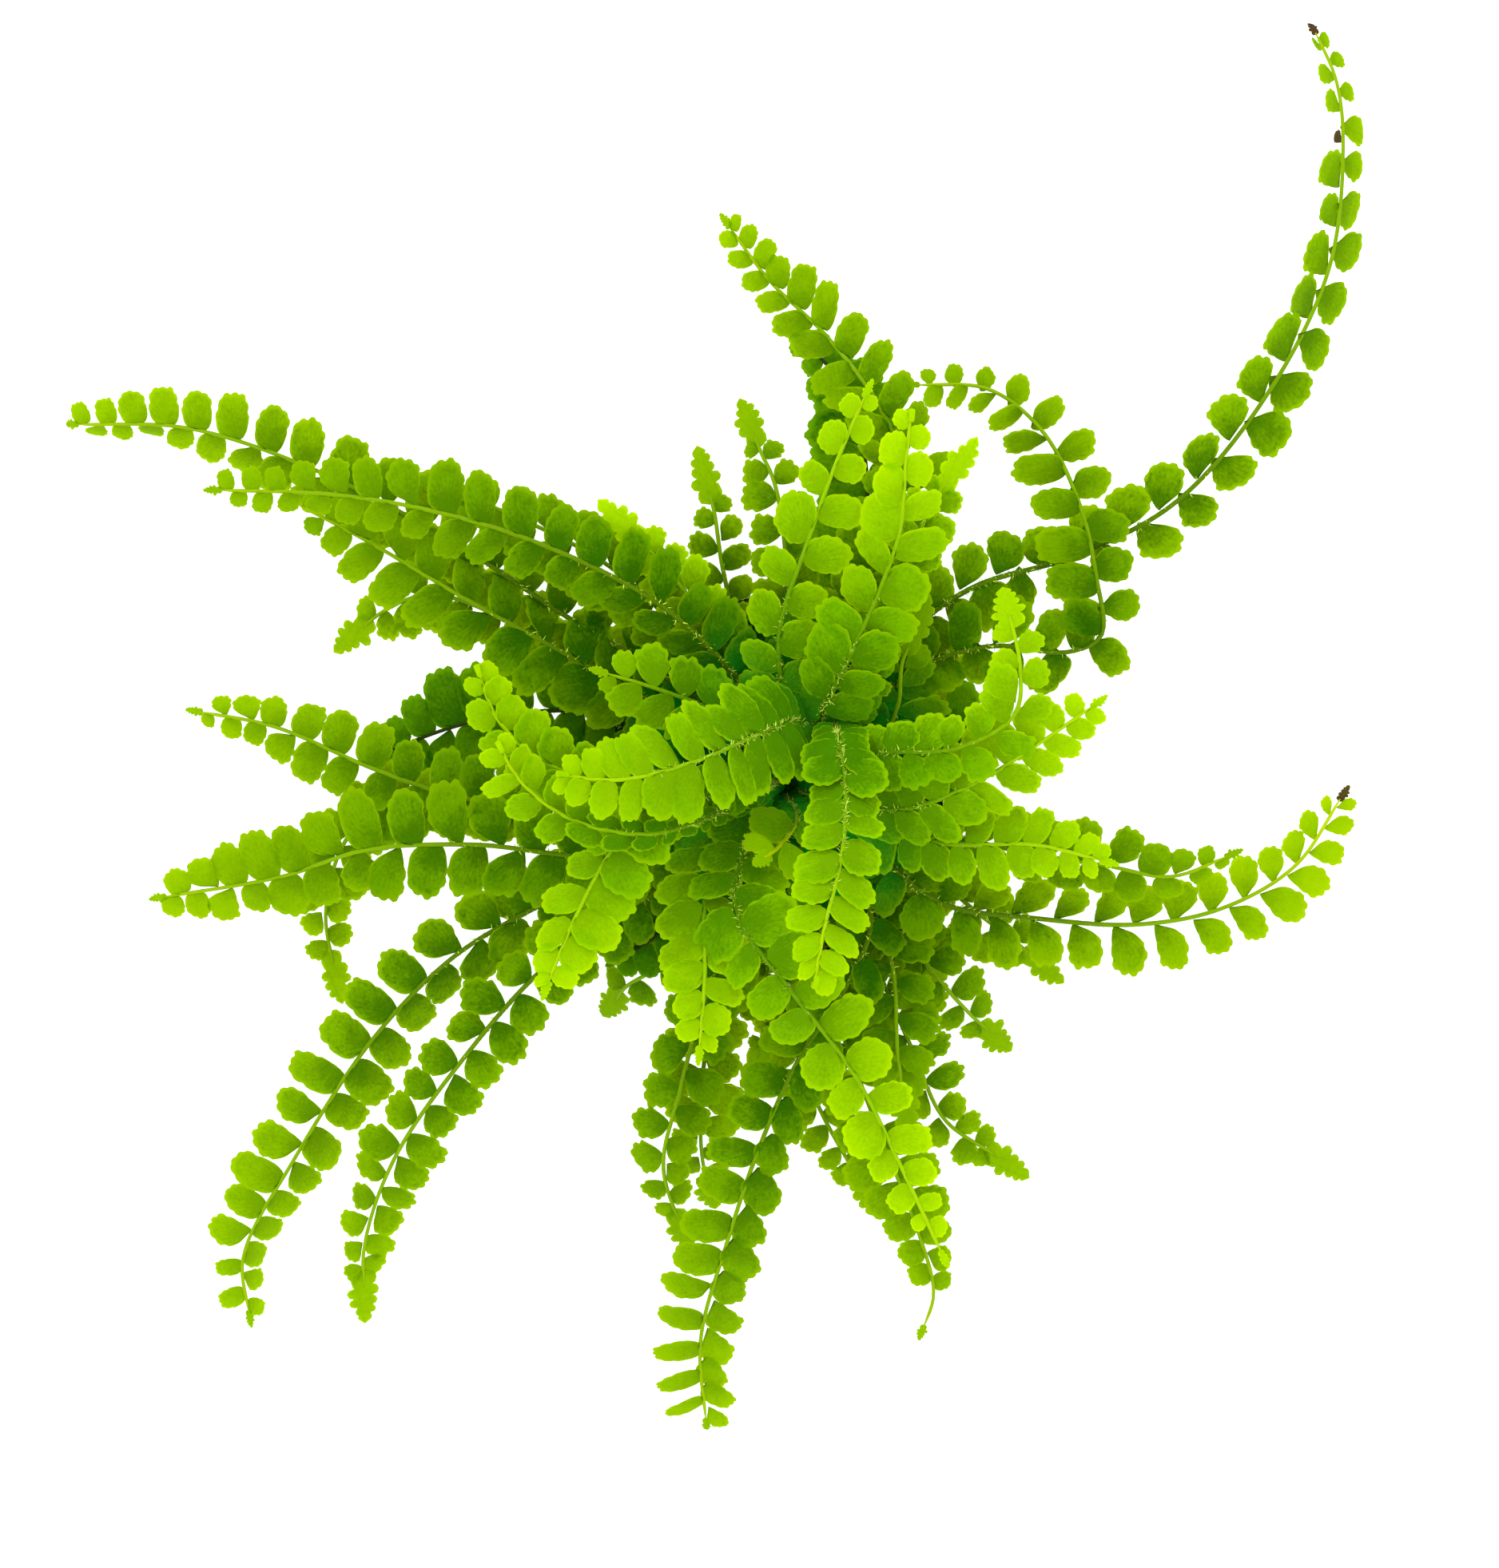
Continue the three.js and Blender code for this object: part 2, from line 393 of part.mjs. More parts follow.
// Points all over a frond, each with its distance along the rib and its half thickness
function coverPoints(row, route, plan) {
  const points = [];
  const total = (route.line.length - 1) * route.step;
  for (let s = 0; s <= total; s += ROUTE_STEP) {
    const frame = frameAt(route, s, row.roll);
    points.push({ at: s, point: frame.place, half: RIB_HEIGHT / 2 });
  }
  plan.leaflets.forEach((leaflet) => {
    for (let i = 0; i < COVER_ALONG; i += 1) {
      for (let j = 0; j < COVER_OUT; j += 1) {
        const share = THREE.MathUtils.lerp(COVER_FIRST, 1, j / (COVER_OUT - 1));
        const breadth = leaflet.width * (share < COVER_NECK ? COVER_NECK_WIDTH : 1);
        const along = (i / (COVER_ALONG - 1) - 0.5) * breadth;
        const out = share * leaflet.length;
        const at = leaflet.at + leaflet.span / 2 + along + out * Math.sin(leaflet.lean);
        const { point } = leafletPoint(route, row.roll, leaflet, along, out);
        points.push({ at, point, half: BLADE / 2 });
      }
    }
  });
  const size = terminalSize(row);
  for (let ahead = 0; ahead <= size; ahead += 1) {
    [-0.3, 0, 0.3].forEach((across) => {
      const { place, side } = frameAt(route, total + ahead, row.roll);
      points.push({ at: total, point: place.addScaledVector(side, across * size), half: BLADE / 2 });
    });
  }
  return points;
}

// Raises a frond, smoothly along its rib, until it clears all that is laid below it, and lays it
function raiseAndLay(row, route, plan) {
  const last = route.line.length - 1;
  const need = new Array(last + 1).fill(0);
  const points = coverPoints(row, route, plan);
  points.forEach(({ at, point, half }) => {
    const i = THREE.MathUtils.clamp(Math.round(at / route.step), 0, last);
    const short = heightBelow(point.x, point.y) + LAYER_GAP - (point.z - half);
    need[i] = Math.max(need[i], short);
  });
  const drop = LIFT_SLOPE * route.step;
  for (let i = 1; i <= last; i += 1) need[i] = Math.max(need[i], need[i - 1] - drop);
  for (let i = last - 1; i >= 0; i -= 1) need[i] = Math.max(need[i], need[i + 1] - drop);
  const reach = Math.round(LIFT_SMOOTH / route.step);
  const window = (list, i) => list.slice(Math.max(0, i - reach), i + reach + 1);
  const widened = need.map((_, i) => Math.max(...window(need, i)));
  const footEnd = FOOT_RISE / route.step;
  route.lift = widened.map((_, i) => {
    const near = window(widened, i);
    const mean = near.reduce((sum, value) => sum + value, 0) / near.length;
    return mean * THREE.MathUtils.smoothstep(i, LIFT_START * footEnd, LIFT_FULL * footEnd);
  });
  coverPoints(row, route, plan).forEach(({ point, half }) => {
    const [a, b] = cellOf(point.x, point.y);
    laid[a * cells + b] = Math.max(laid[a * cells + b], point.z + half);
  });
}

// Distances along the rib at which it gets a cross-section, and how many come before the leaflets
function ribStations(plan) {
  const bareSpans = Math.max(2, Math.round(plan.start / BARE_STEP));
  const stations = [];
  for (let i = 0; i < bareSpans; i += 1) stations.push((i * plan.start) / bareSpans);
  plan.leaflets.forEach((leaflet) => stations.push(leaflet.at));
  stations.push(plan.end, plan.end + TIP_NECK);
  return { stations, bareSpans };
}

// The skin of one frond: its points and its triangles, seen anticlockwise from outside
class FrondSkin {
  constructor(route, roll) {
    this.route = route;
    this.roll = roll;
    this.positions = [];
    this.faces = [];
  }

  add(point) {
    this.positions.push(point.x, point.y, point.z);
    return this.positions.length / 3 - 1;
  }

  quad(a, b, c, d) {
    this.faces.push(a, b, c, a, c, d);
  }

  // Upper and lower point of the blade at a place on its middle surface
  addBlade(point, top) {
    const upper = this.add(point.clone().addScaledVector(top, BLADE / 2));
    const lower = this.add(point.clone().addScaledVector(top, -BLADE / 2));
    return [upper, lower];
  }

  addSection(at, width, roll) {
    const { place, side, top } = frameAt(this.route, at, roll);
    const shift = (across, up) => {
      const corner = place.clone().addScaledVector(side, across);
      return corner.addScaledVector(top, up);
    };
    return {
      left: this.add(shift(width / 2, RIB_HEIGHT / 2)),
      right: this.add(shift(-width / 2, RIB_HEIGHT / 2)),
      below: this.add(shift(0, -RIB_HEIGHT / 2)),
    };
  }

  // The rib between two sections, left open where a leaflet grows out of it
  addRib(a, b, leafSide) {
    this.quad(a.left, a.right, b.right, b.left);
    if (leafSide <= 0) this.quad(a.left, b.left, b.below, a.below);
    if (leafSide >= 0) this.quad(a.right, a.below, b.below, b.right);
  }

  addLeaflet(leaflet, a, b) {
    const large = leaflet.length > ROUND_LENGTH;
    const corners = large ? LARGE_CORNERS : SMALL_CORNERS;
    const edge = leaflet.side > 0 ? 'left' : 'right';
    const uppers = [a[edge]];
    const lowers = [a.below];
    corners.forEach(([along, out]) => {
      const place = [along * leaflet.width, out * leaflet.length];
      const { point, top } = leafletPoint(this.route, this.roll, leaflet, ...place);
      const [upper, lower] = this.addBlade(point, top);
      uppers.push(upper);
      lowers.push(lower);
    });
    uppers.push(b[edge]);
    lowers.push(b.below);
    const face = (p, q, r) => this.faces.push(...(leaflet.side > 0 ? [p, q, r] : [p, r, q]));
    (large ? LARGE_FACES : SMALL_FACES).forEach(([p, q, r]) => {
      face(uppers[p], uppers[r], uppers[q]);
      face(lowers[p], lowers[q], lowers[r]);
    });
    for (let k = 0; k <= corners.length; k += 1) {
      face(uppers[k], uppers[k + 1], lowers[k + 1]);
      face(uppers[k], lowers[k + 1], lowers[k]);
    }
  }

  // The leaflet that ends the rib
  addTerminal(end, at, size) {
    const { place, side, top } = frameAt(this.route, at, this.roll);
    const forward = side.clone().cross(top);
    const points = TERMINAL_CORNERS.map(([ahead, across]) => {
      const point = place.clone().addScaledVector(forward, ahead * size);
      return this.addBlade(point.addScaledVector(side, across * size), top);
    });
    const [[leftUp, leftLow], [tipUp, tipLow], [rightUp, rightLow]] = points;
    this.faces.push(end.right, rightUp, end.left, rightUp, leftUp, end.left, rightUp, tipUp, leftUp);
    this.faces.push(end.below, leftLow, rightLow, leftLow, tipLow, rightLow);
    this.quad(end.left, leftUp, leftLow, end.below);
    this.quad(leftUp, tipUp, tipLow, leftLow);
    this.quad(tipUp, rightUp, rightLow, tipLow);
    this.quad(rightUp, end.right, end.below, rightLow);
  }

  geometry() {
    const geometry = new THREE.BufferGeometry();
    geometry.setAttribute('position', new THREE.Float32BufferAttribute(this.positions, 3));
    geometry.setIndex(this.faces);
    geometry.computeVertexNormals();
    return geometry;
  }
}

function buildFrond(row, index) {
  const route = layRoute(row);
  const plan = planLeaflets(row, index, route);
  raiseAndLay(row, route, plan);
  const { stations, bareSpans } = ribStations(plan);
  const skin = new FrondSkin(route, row.roll);
  const sections = stations.map((at, i) => {
    const width = THREE.MathUtils.lerp(STALK_WIDTH, RIB_TIP_WIDTH, at / stations.at(-1));
    return skin.addSection(at, width, i < bareSpans ? 0 : row.roll);
  });
  const [foot] = sections;
  skin.faces.push(foot.right, foot.left, foot.below);
  for (let i = 0; i < sections.length - 1; i += 1) {
    const leaflet = plan.leaflets[i - bareSpans];
    const leafSide = leaflet ? leaflet.side : 0;
    skin.addRib(sections[i], sections[i + 1], leafSide);
    if (leaflet) skin.addLeaflet(leaflet, sections[i], sections[i + 1]);
  }
  skin.addTerminal(sections.at(-1), stations.at(-1), terminalSize(row));
  return skin.geometry();
}

// A closed geometry as a solid that can be cut
function solidOf(geometry) {
  const bare = geometry.clone();
  bare.deleteAttribute('normal');
  bare.deleteAttribute('uv');
  const merged = mergeVertices(bare, 1e-4);
  return new wasm.Manifold(new wasm.Mesh({
    numProp: 3,
    vertProperties: new Float32Array(merged.attributes.position.array),
    triVerts: new Uint32Array(merged.index.array),
  }));
}

function geometryOf(solid) {
  const mesh = solid.getMesh();
  const geometry = new THREE.BufferGeometry();
  const positions = new Float32Array(mesh.vertProperties);
  geometry.setAttribute('position', new THREE.BufferAttribute(positions, 3));
  geometry.setIndex(new THREE.BufferAttribute(new Uint32Array(mesh.triVerts), 1));
  geometry.computeVertexNormals();
  return geometry;
}

// A round body turned from its outline, radius and height, about the upright axis
function turned(outline, sides) {
  const points = outline.map(([radius, height]) => new THREE.Vector2(radius, height));
  return new THREE.LatheGeometry(points, sides).rotateX(Math.PI / 2);
}

// An upright prism between two heights, with a flat towards each neighbour along X and Y
function upright(radius, bottom, top, sides, x, y) {
  const turn = Math.PI / sides;
  const geometry = new THREE.CylinderGeometry(radius, radius, top - bottom, sides, 1, false, turn);
  return geometry.rotateX(Math.PI / 2).translate(x, y, (top + bottom) / 2);
}

// Outer radius of the pot's tapered body at a height
function potRadius(z) {
  const topDiameter = POT_RIM_DIAMETER - 2 * RIM_BAND_STEP;
  return THREE.MathUtils.lerp(POT_BASE_DIAMETER, topDiameter, z / POT_HEIGHT) / 2;
}

function buildPot() {
  const bandBottom = POT_HEIGHT - RIM_BAND_HEIGHT;
  const rim = POT_RIM_DIAMETER / 2;
  const outline = [
    [0, 0],
    [potRadius(0) - BASE_CHAMFER, 0],
    [potRadius(BASE_CHAMFER), BASE_CHAMFER],
    [potRadius(bandBottom), bandBottom],
    [rim - RIM_BAND_DRAFT, bandBottom],
    [rim, POT_HEIGHT],
    [potRadius(POT_HEIGHT) - POT_WALL, POT_HEIGHT],
    [potRadius(POT_FLOOR) - POT_WALL, POT_FLOOR],
    [0, POT_FLOOR],
  ];
  let pot = solidOf(turned(outline, POT_SIDES));
  for (let i = 0; i < DRAIN_HOLES; i += 1) {
    const angle = (i * 2 * Math.PI) / DRAIN_HOLES;
    const x = (DRAIN_CIRCLE / 2) * Math.cos(angle);
    const y = (DRAIN_CIRCLE / 2) * Math.sin(angle);
    const drill = upright(DRAIN_DIAMETER / 2, -1, POT_FLOOR + 1, DRAIN_SIDES, x, y);
    pot = pot.subtract(solidOf(drill));
  }
  return geometryOf(pot);
}

function buildSoil() {
  const bottom = POT_FLOOR + FIT_GAP;
  const clear = POT_WALL + 2 * FIT_GAP;
  const outline = [
    [0, bottom],
    [potRadius(bottom) - clear, bottom],
    [potRadius(SOIL_TOP) - clear, SOIL_TOP],
    [0, SOIL_TOP],
  ];
  let soil = solidOf(turned(outline, POT_SIDES));
  FRONDS.forEach(({ foot: [x, y] }) => {
    const hole = upright(FOOT_HOLE_RADIUS, SOIL_TOP - FOOT_DEPTH, SOIL_TOP + 1, FOOT_HOLE_SIDES, x, y);
    soil = soil.subtract(solidOf(hole));
  });
  return geometryOf(soil);
}

function meshOf(name, geometry, look) {
  const mesh = new THREE.Mesh(geometry, new THREE.MeshStandardMaterial({ metalness: 0, ...look }));
  mesh.name = name;
  return mesh;
}

const group = new THREE.Group();
group.add(meshOf('pot', buildPot(), { color: 0x151716, roughness: 0.45 }));
group.add(meshOf('soil', buildSoil(), { color: 0x2a1d13, roughness: 0.95 }));
layRim();
FRONDS.forEach((row, index) => {
  group.add(meshOf(row.name, buildFrond(row, index), LOOKS[row.look]));
});

export default group;
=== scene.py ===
"""Potted button-leaved fishbone fern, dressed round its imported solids.

Everything is in metres with +Z up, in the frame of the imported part. The rows of the frond table
and the sizes named after it are in millimetres, as they are in the part's source.
"""

import json
import logging
import math
from dataclasses import dataclass, field
from enum import Enum
from typing import Any, Iterable, Union

import bpy
import numpy as np
from mathutils import Matrix, Vector, noise

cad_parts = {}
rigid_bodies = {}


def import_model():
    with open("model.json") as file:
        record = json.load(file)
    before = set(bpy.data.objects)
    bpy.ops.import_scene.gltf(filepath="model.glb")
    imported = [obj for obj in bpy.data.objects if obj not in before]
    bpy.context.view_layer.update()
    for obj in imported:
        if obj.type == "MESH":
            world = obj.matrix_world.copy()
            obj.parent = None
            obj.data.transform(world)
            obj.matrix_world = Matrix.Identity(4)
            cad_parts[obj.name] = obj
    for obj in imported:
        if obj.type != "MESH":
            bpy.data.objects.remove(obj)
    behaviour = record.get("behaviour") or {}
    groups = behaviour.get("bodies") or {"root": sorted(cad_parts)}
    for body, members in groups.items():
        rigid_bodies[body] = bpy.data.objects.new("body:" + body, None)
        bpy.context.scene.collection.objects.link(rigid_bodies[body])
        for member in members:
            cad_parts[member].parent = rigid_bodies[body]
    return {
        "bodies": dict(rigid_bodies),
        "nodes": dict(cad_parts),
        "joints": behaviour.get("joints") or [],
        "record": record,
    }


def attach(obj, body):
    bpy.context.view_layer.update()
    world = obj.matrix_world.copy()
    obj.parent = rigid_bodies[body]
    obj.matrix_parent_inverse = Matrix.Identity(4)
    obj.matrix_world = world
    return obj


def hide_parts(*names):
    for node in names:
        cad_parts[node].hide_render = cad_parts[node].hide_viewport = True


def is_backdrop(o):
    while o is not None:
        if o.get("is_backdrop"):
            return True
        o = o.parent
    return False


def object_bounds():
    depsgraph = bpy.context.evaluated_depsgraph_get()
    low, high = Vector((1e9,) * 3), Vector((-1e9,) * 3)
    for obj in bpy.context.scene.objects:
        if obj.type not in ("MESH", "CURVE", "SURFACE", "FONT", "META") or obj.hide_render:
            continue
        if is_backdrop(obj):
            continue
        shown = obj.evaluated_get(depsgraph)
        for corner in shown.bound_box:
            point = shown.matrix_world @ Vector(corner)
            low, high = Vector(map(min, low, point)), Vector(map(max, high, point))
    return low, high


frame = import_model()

LOG = logging.getLogger("fern")
MM = 0.001

Colour = tuple[float, float, float]
Point3 = tuple[float, float, float]


# The table of fronds

class Look(Enum):
    """How old a frond is and how much light reaches it."""

    YOUNG = "young"
    MATURE = "mature"
    SHADED = "shaded"


@dataclass(frozen=True)
class FrondRow:
    """One frond, in millimetres. The first rows lie lowest.

    foot is where its stalk stands in the soil. way holds the points of its rib above the soil.
    bare is the distance from the foot, in plan, at which the leaflets begin. pitch is the
    distance between leaflets on one side and reach the length of the longest. roll turns the
    blade about its rib in degrees, left side up. lobed fronds end in cut, fan-like leaflets.
    """

    title: str
    look: Look
    foot: tuple[float, float]
    bare: float
    pitch: float
    reach: float
    roll: float
    lobed: bool
    way: tuple[Point3, ...]

    @property
    def name(self) -> str:
        """Name of the frond's solid."""
        return f"frond_{self.title}"


FRONDS = tuple(FrondRow(*row) for row in (
    ("west_low", Look.SHADED, (-16.5, 4.1), 16, 6.6, 8.6, 0, False,
     ((-27, 8, 63), (-39, 12, 65), (-59, 10, 63), (-77, 4, 54))),
    ("west_hook", Look.MATURE, (-15, 8), 42, 6.2, 6.5, 0, True,
     ((-30, 17, 64), (-48, 27, 68), (-66, 34, 64), (-76, 31, 58), (-85, 23, 50))),
    ("north_fork", Look.MATURE, (-6.4, 15.8), 14, 5.4, 5, 0, True,
     ((-9, 26, 64), (-12, 40, 67), (-14, 52, 65), (-18, 60, 60))),
    ("north_lobed", Look.MATURE, (-1.2, 17), 14, 6.4, 5.8, 0, True,
     ((0, 28, 64), (0, 42, 67), (-2, 55, 64), (-5, 62, 60), (-8, 71, 54))),
    ("north_low", Look.SHADED, (4.1, 16.5), 16, 6.6, 7.4, 0, False,
     ((10, 27, 63), (15, 42, 66), (15, 60, 66), (12, 72, 62), (3, 83, 56))),
    ("east_stub", Look.MATURE, (14.3, 9.3), 9, 6, 5.6, 0, True,
     ((21, 13, 66), (27, 18, 72), (31, 25, 77), (31, 32, 80))),
    ("east_low", Look.SHADED, (16.6, 3.5), 12, 6.6, 8, 0, True,
     ((25, 6, 64), (36, 6, 68), (47, 7, 67))),
    ("southeast_hidden", Look.MATURE, (15.1, -7.7), 20, 6.6, 6.4, 0, True,
     ((24, -15, 64), (35, -25, 67), (44, -32, 63), (52, -39, 56))),
    ("south_broad", Look.MATURE, (12.6, -11.4), 13, 6.6, 6.6, 0, True,
     ((20, -20, 64), (26, -32, 65), (29, -45, 60))),
    ("southeast_lobed", Look.MATURE, (9.8, -13.9), 14, 6.2, 6.6, 0, True,
     ((20, -27, 64), (31, -41, 64), (38, -48, 59), (44, -52, 53))),
    ("south_far_lobed", Look.MATURE, (6.1, -15.9), 20, 6.2, 6.2, 0, True,
     ((16, -34, 65), (24, -52, 65), (30, -65, 60), (38, -71, 55), (46, -76, 49))),
    ("south_lobed", Look.MATURE, (1.5, -16.9), 15, 5.8, 6.6, 0, True,
     ((0, -32, 64), (1, -48, 66), (6, -62, 63), (13, -75, 57), (18, -83, 51))),
    ("south_stub", Look.MATURE, (-2.7, -16.8), 18, 7.5, 3.8, 0, True,
     ((-3, -30, 63), (-4, -45, 62), (-5, -53, 59), (-9, -60, 55))),
    ("southwest_under", Look.MATURE, (-6.4, -15.8), 16, 6.6, 7, 0, True,
     ((-11, -34, 64), (-15, -52, 64), (-16, -66, 60), (-15, -76, 54), (-11, -84, 48))),
    ("southwest_stub", Look.MATURE, (-10, -13.8), 15, 6.6, 6.4, 0, True,
     ((-17, -27, 64), (-24, -36, 63), (-31, -41, 59), (-33, -50, 53))),
    ("west_hanging", Look.MATURE, (-16.6, -3.5), 44, 6.4, 6.6, -8, True,
     ((-30, -7, 65), (-52, -8, 69), (-72, -5, 68), (-82, -11, 64), (-87, -26, 57),
      (-84, -43, 48))),
    ("southwest_short", Look.SHADED, (-6.3, -10.8), 11, 5.2, 6, 0, False,
     ((-15, -20, 66), (-24, -30, 66), (-32, -35, 61))),
    ("south_curling", Look.MATURE, (-1.7, -12.4), 14, 6.4, 7, 8, True,
     ((-8, -27, 68), (-15, -42, 74), (-20, -60, 74), (-23, -73, 68), (-21, -82, 61),
      (-17, -90, 54))),
    ("west_middle", Look.MATURE, (-12.5, -1.1), 14, 6.4, 8.4, 8, False,
     ((-28, -4, 69), (-45, -6, 75), (-62, -4, 77), (-77, 1, 75), (-96, 9, 69),
      (-111, 12, 63))),
    ("southwest_long", Look.MATURE, (-14.1, -9.5), 14, 6.6, 8.8, 10, False,
     ((-30, -17, 70), (-47, -25, 76), (-62, -34, 77), (-77, -49, 72), (-93, -73, 61),
      (-103, -92, 50), (-102, -103, 46))),
    ("southwest_second", Look.MATURE, (-9.3, -8.4), 17, 6.6, 7.6, -8, True,
     ((-25, -22, 70), (-45, -36, 75), (-61, -54, 73), (-74, -73, 64), (-80, -91, 53),
      (-79, -104, 46))),
    ("south_under_arch", Look.MATURE, (4.9, -11.5), 22, 6.4, 7.6, 0, False,
     ((6, -26, 69), (10, -46, 74), (18, -68, 75), (25, -86, 70), (28, -98, 64),
      (26, -105, 60))),
    ("south_inner", Look.MATURE, (8.4, -9.3), 16, 6.4, 7.4, 0, True,
     ((15, -22, 69), (20, -36, 74), (21, -52, 72), (23, -67, 64))),
    ("south_long", Look.MATURE, (4.9, -7), 19, 6.8, 8.8, 6, False,
     ((13, -18, 74), (16, -28, 80), (11, -40, 84), (2, -54, 85), (-5, -70, 81),
      (-11, -88, 73), (-16, -107, 62), (-15, -123, 54))),
    ("east_long", Look.MATURE, (10.8, -6.3), 13, 6.6, 8, -10, False,
     ((19, -16, 70), (29, -24, 76), (48, -27, 82), (66, -28, 82), (82, -25, 77),
      (96, -17, 71), (105, -4, 66))),
    ("east_behind", Look.MATURE, (12.4, -1.7), 20, 6, 6.4, 0, False,
     ((25, -9, 74), (42, -14, 84), (60, -17, 88), (72, -19, 87), (83, -15, 86))),
    ("northeast_long", Look.MATURE, (10.9, 13), 16, 7, 8.2, 12, False,
     ((21, 25, 68), (35, 35, 73), (54, 41, 77), (73, 51, 80), (90, 71, 80), (102, 95, 75),
      (105, 118, 69), (104, 131, 64), (100, 141, 60))),
    ("northeast_elbow", Look.MATURE, (12.1, 7), 16, 6.8, 8, 20, False,
     ((23, 19, 70), (38, 24, 76), (53, 23, 80), (59, 26, 82), (58, 37, 85), (55, 50, 87),
      (48, 64, 87), (38, 72, 85), (24, 73, 82))),
    ("north_long", Look.MATURE, (3.4, 12.6), 16, 6.6, 8, -8, False,
     ((9, 24, 69), (17, 40, 76), (22, 56, 79), (18, 68, 79), (8, 82, 76), (-3, 93, 71),
      (-11, 104, 66))),
    ("west_long", Look.MATURE, (-10, 7.5), 17, 6.8, 8.6, -8, False,
     ((-22, 18, 70), (-40, 29, 78), (-63, 44, 84), (-88, 57, 83), (-112, 65, 77),
      (-134, 66, 70))),
    ("west_straight", Look.MATURE, (-11.7, 4.3), 18, 6.6, 8.6, -6, False,
     ((-24, 13, 70), (-40, 22, 76), (-60, 33, 79), (-77, 43, 77), (-92, 51, 72))),
    ("northwest_behind", Look.MATURE, (-7, 10.4), 20, 6.6, 7.6, 0, True,
     ((-18, 25, 76), (-33, 39, 86), (-50, 48, 88), (-68, 55, 85))),
    ("northwest_young", Look.YOUNG, (-4, 7.5), 10, 6, 6.6, 0, True,
     ((-12, 24, 80), (-22, 38, 90), (-34, 50, 95))),
    ("west_high", Look.MATURE, (-3.8, 4.2), 9, 6.2, 8, 8, False,
     ((-10, 19, 78), (-24, 32, 90), (-46, 43, 98), (-66, 49, 100), (-84, 52, 98),
      (-106, 53, 92))),
    ("heart_north", Look.MATURE, (-0.9, 9), 9, 6, 7, 0, True,
     ((3, 22, 78), (8, 29, 84), (16, 29, 87), (22, 26, 88))),
    ("heart_northeast", Look.MATURE, (9.3, 2), 7, 6, 8, 0, True,
     ((17, 5, 76), (21, 13, 84), (22, 22, 89), (28, 31, 93))),
    ("heart_south", Look.MATURE, (0.7, -8.5), 6, 6, 6, 0, True,
     ((3, -16, 76), (2, -26, 80))),
    ("west_broad", Look.MATURE, (-7, -4.9), 14, 6.4, 9.6, -6, False,
     ((-20, -11, 82), (-36, -15, 92), (-58, -13, 96), (-78, -14, 93), (-94, -19, 86),
      (-117, -23, 78))),
    ("north_tall", Look.YOUNG, (0, 4.8), 7, 6.6, 9.4, -8, False,
     ((-1, 17, 82), (-1, 28, 91), (4, 43, 97), (9, 57, 99), (15, 71, 99))),
    ("north_side_shoot", Look.YOUNG, (7.3, 5.3), 38, 5.6, 5.4, 0, True,
     ((14, 14, 80), (20, 30, 93), (24, 42, 100), (28, 52, 103), (36, 60, 106))),
    ("north_bright", Look.YOUNG, (3, 3.6), 10, 7, 8.6, 6, False,
     ((9, 16, 84), (16, 31, 99), (21, 45, 109), (22, 57, 114), (23, 67, 116))),
    ("heart_west", Look.YOUNG, (-7.4, 4.3), 7, 5.8, 7.6, 0, False,
     ((-14, 12, 78), (-24, 16, 88), (-34, 19, 93))),
    ("south_upright", Look.YOUNG, (-8.5, -0.7), 7, 6, 8, 0, False,
     ((-12, -8, 80), (-15, -22, 96), (-15, -37, 107), (-16, -51, 112))),
    ("south_arch", Look.YOUNG, (-3, -4.4), 7, 6.8, 8.4, 6, False,
     ((-8, -15, 80), (-9, -26, 92), (1, -40, 101), (13, -56, 107), (22, -74, 108),
      (29, -89, 105))),
    ("east_bright", Look.YOUNG, (7.7, -3.6), 9, 5.8, 7.4, -8, False,
     ((18, -10, 82), (31, -13, 94), (46, -13, 101), (59, -16, 104))),
    ("east_rising", Look.YOUNG, (3.4, -3.4), 9, 6.2, 8.4, 8, False,
     ((13, -6, 80), (24, -6, 94), (36, -1, 104), (47, 6, 110), (57, 13, 114))),
    ("east_turning", Look.YOUNG, (4.8, -0.2), 10, 6.8, 7, 0, True,
     ((18, 4, 84), (32, 5, 97), (42, 11, 104), (43, 20, 109), (40, 34, 114))),
    ("west_twin", Look.YOUNG, (-1, 1.8), 22, 6.4, 7.6, 0, False,
     ((-12, -1, 88), (-28, -3, 102), (-44, 2, 109), (-53, 10, 112), (-57, 20, 114))),
    ("southwest_bright", Look.YOUNG, (-4.6, -1.4), 14, 5.6, 9, 10, False,
     ((-15, -4, 88), (-26, -6, 100), (-34, -17, 109), (-40, -29, 114), (-44, -39, 117))),
    ("west_coiling", Look.YOUNG, (-1.5, -1.2), 24, 6, 9, 0, False,
     ((-12, -7, 92), (-26, -11, 106), (-40, -8, 113), (-49, -1, 117), (-53, 6, 119))),
    ("heart_yellow", Look.YOUNG, (0.5, -4.8), 5, 6, 6, 0, True,
     ((2, -9, 84), (-2, -14, 94), (-7, -17, 97))),
    ("crown_west", Look.YOUNG, (3.6, 8.4), 3, 5.4, 8.4, 8, False,
     ((1, 10, 90), (-6, 7, 106), (-18, 2, 118), (-31, -1, 125), (-42, 0, 128))),
    ("crown_south", Look.YOUNG, (8.3, 9.2), 3, 5.8, 8, -8, False,
     ((10, 6, 92), (11, -5, 108), (10, -16, 117), (7, -28, 123), (5, -39, 126))),
))


# Where the ribs run

SOIL_TOP = 51.0
FIT_GAP = 0.3
FOOT_DEPTH = 7.0
FOOT_RISE = 12.0
ROUTE_STEP = 0.5
HEADING_CLEAR = 3.0
BEND_SPAN = 4
RIB_HEIGHT = 0.85
BLADE = 0.62
POT_HEIGHT = 58.0
POT_RIM_DIAMETER = 69.0


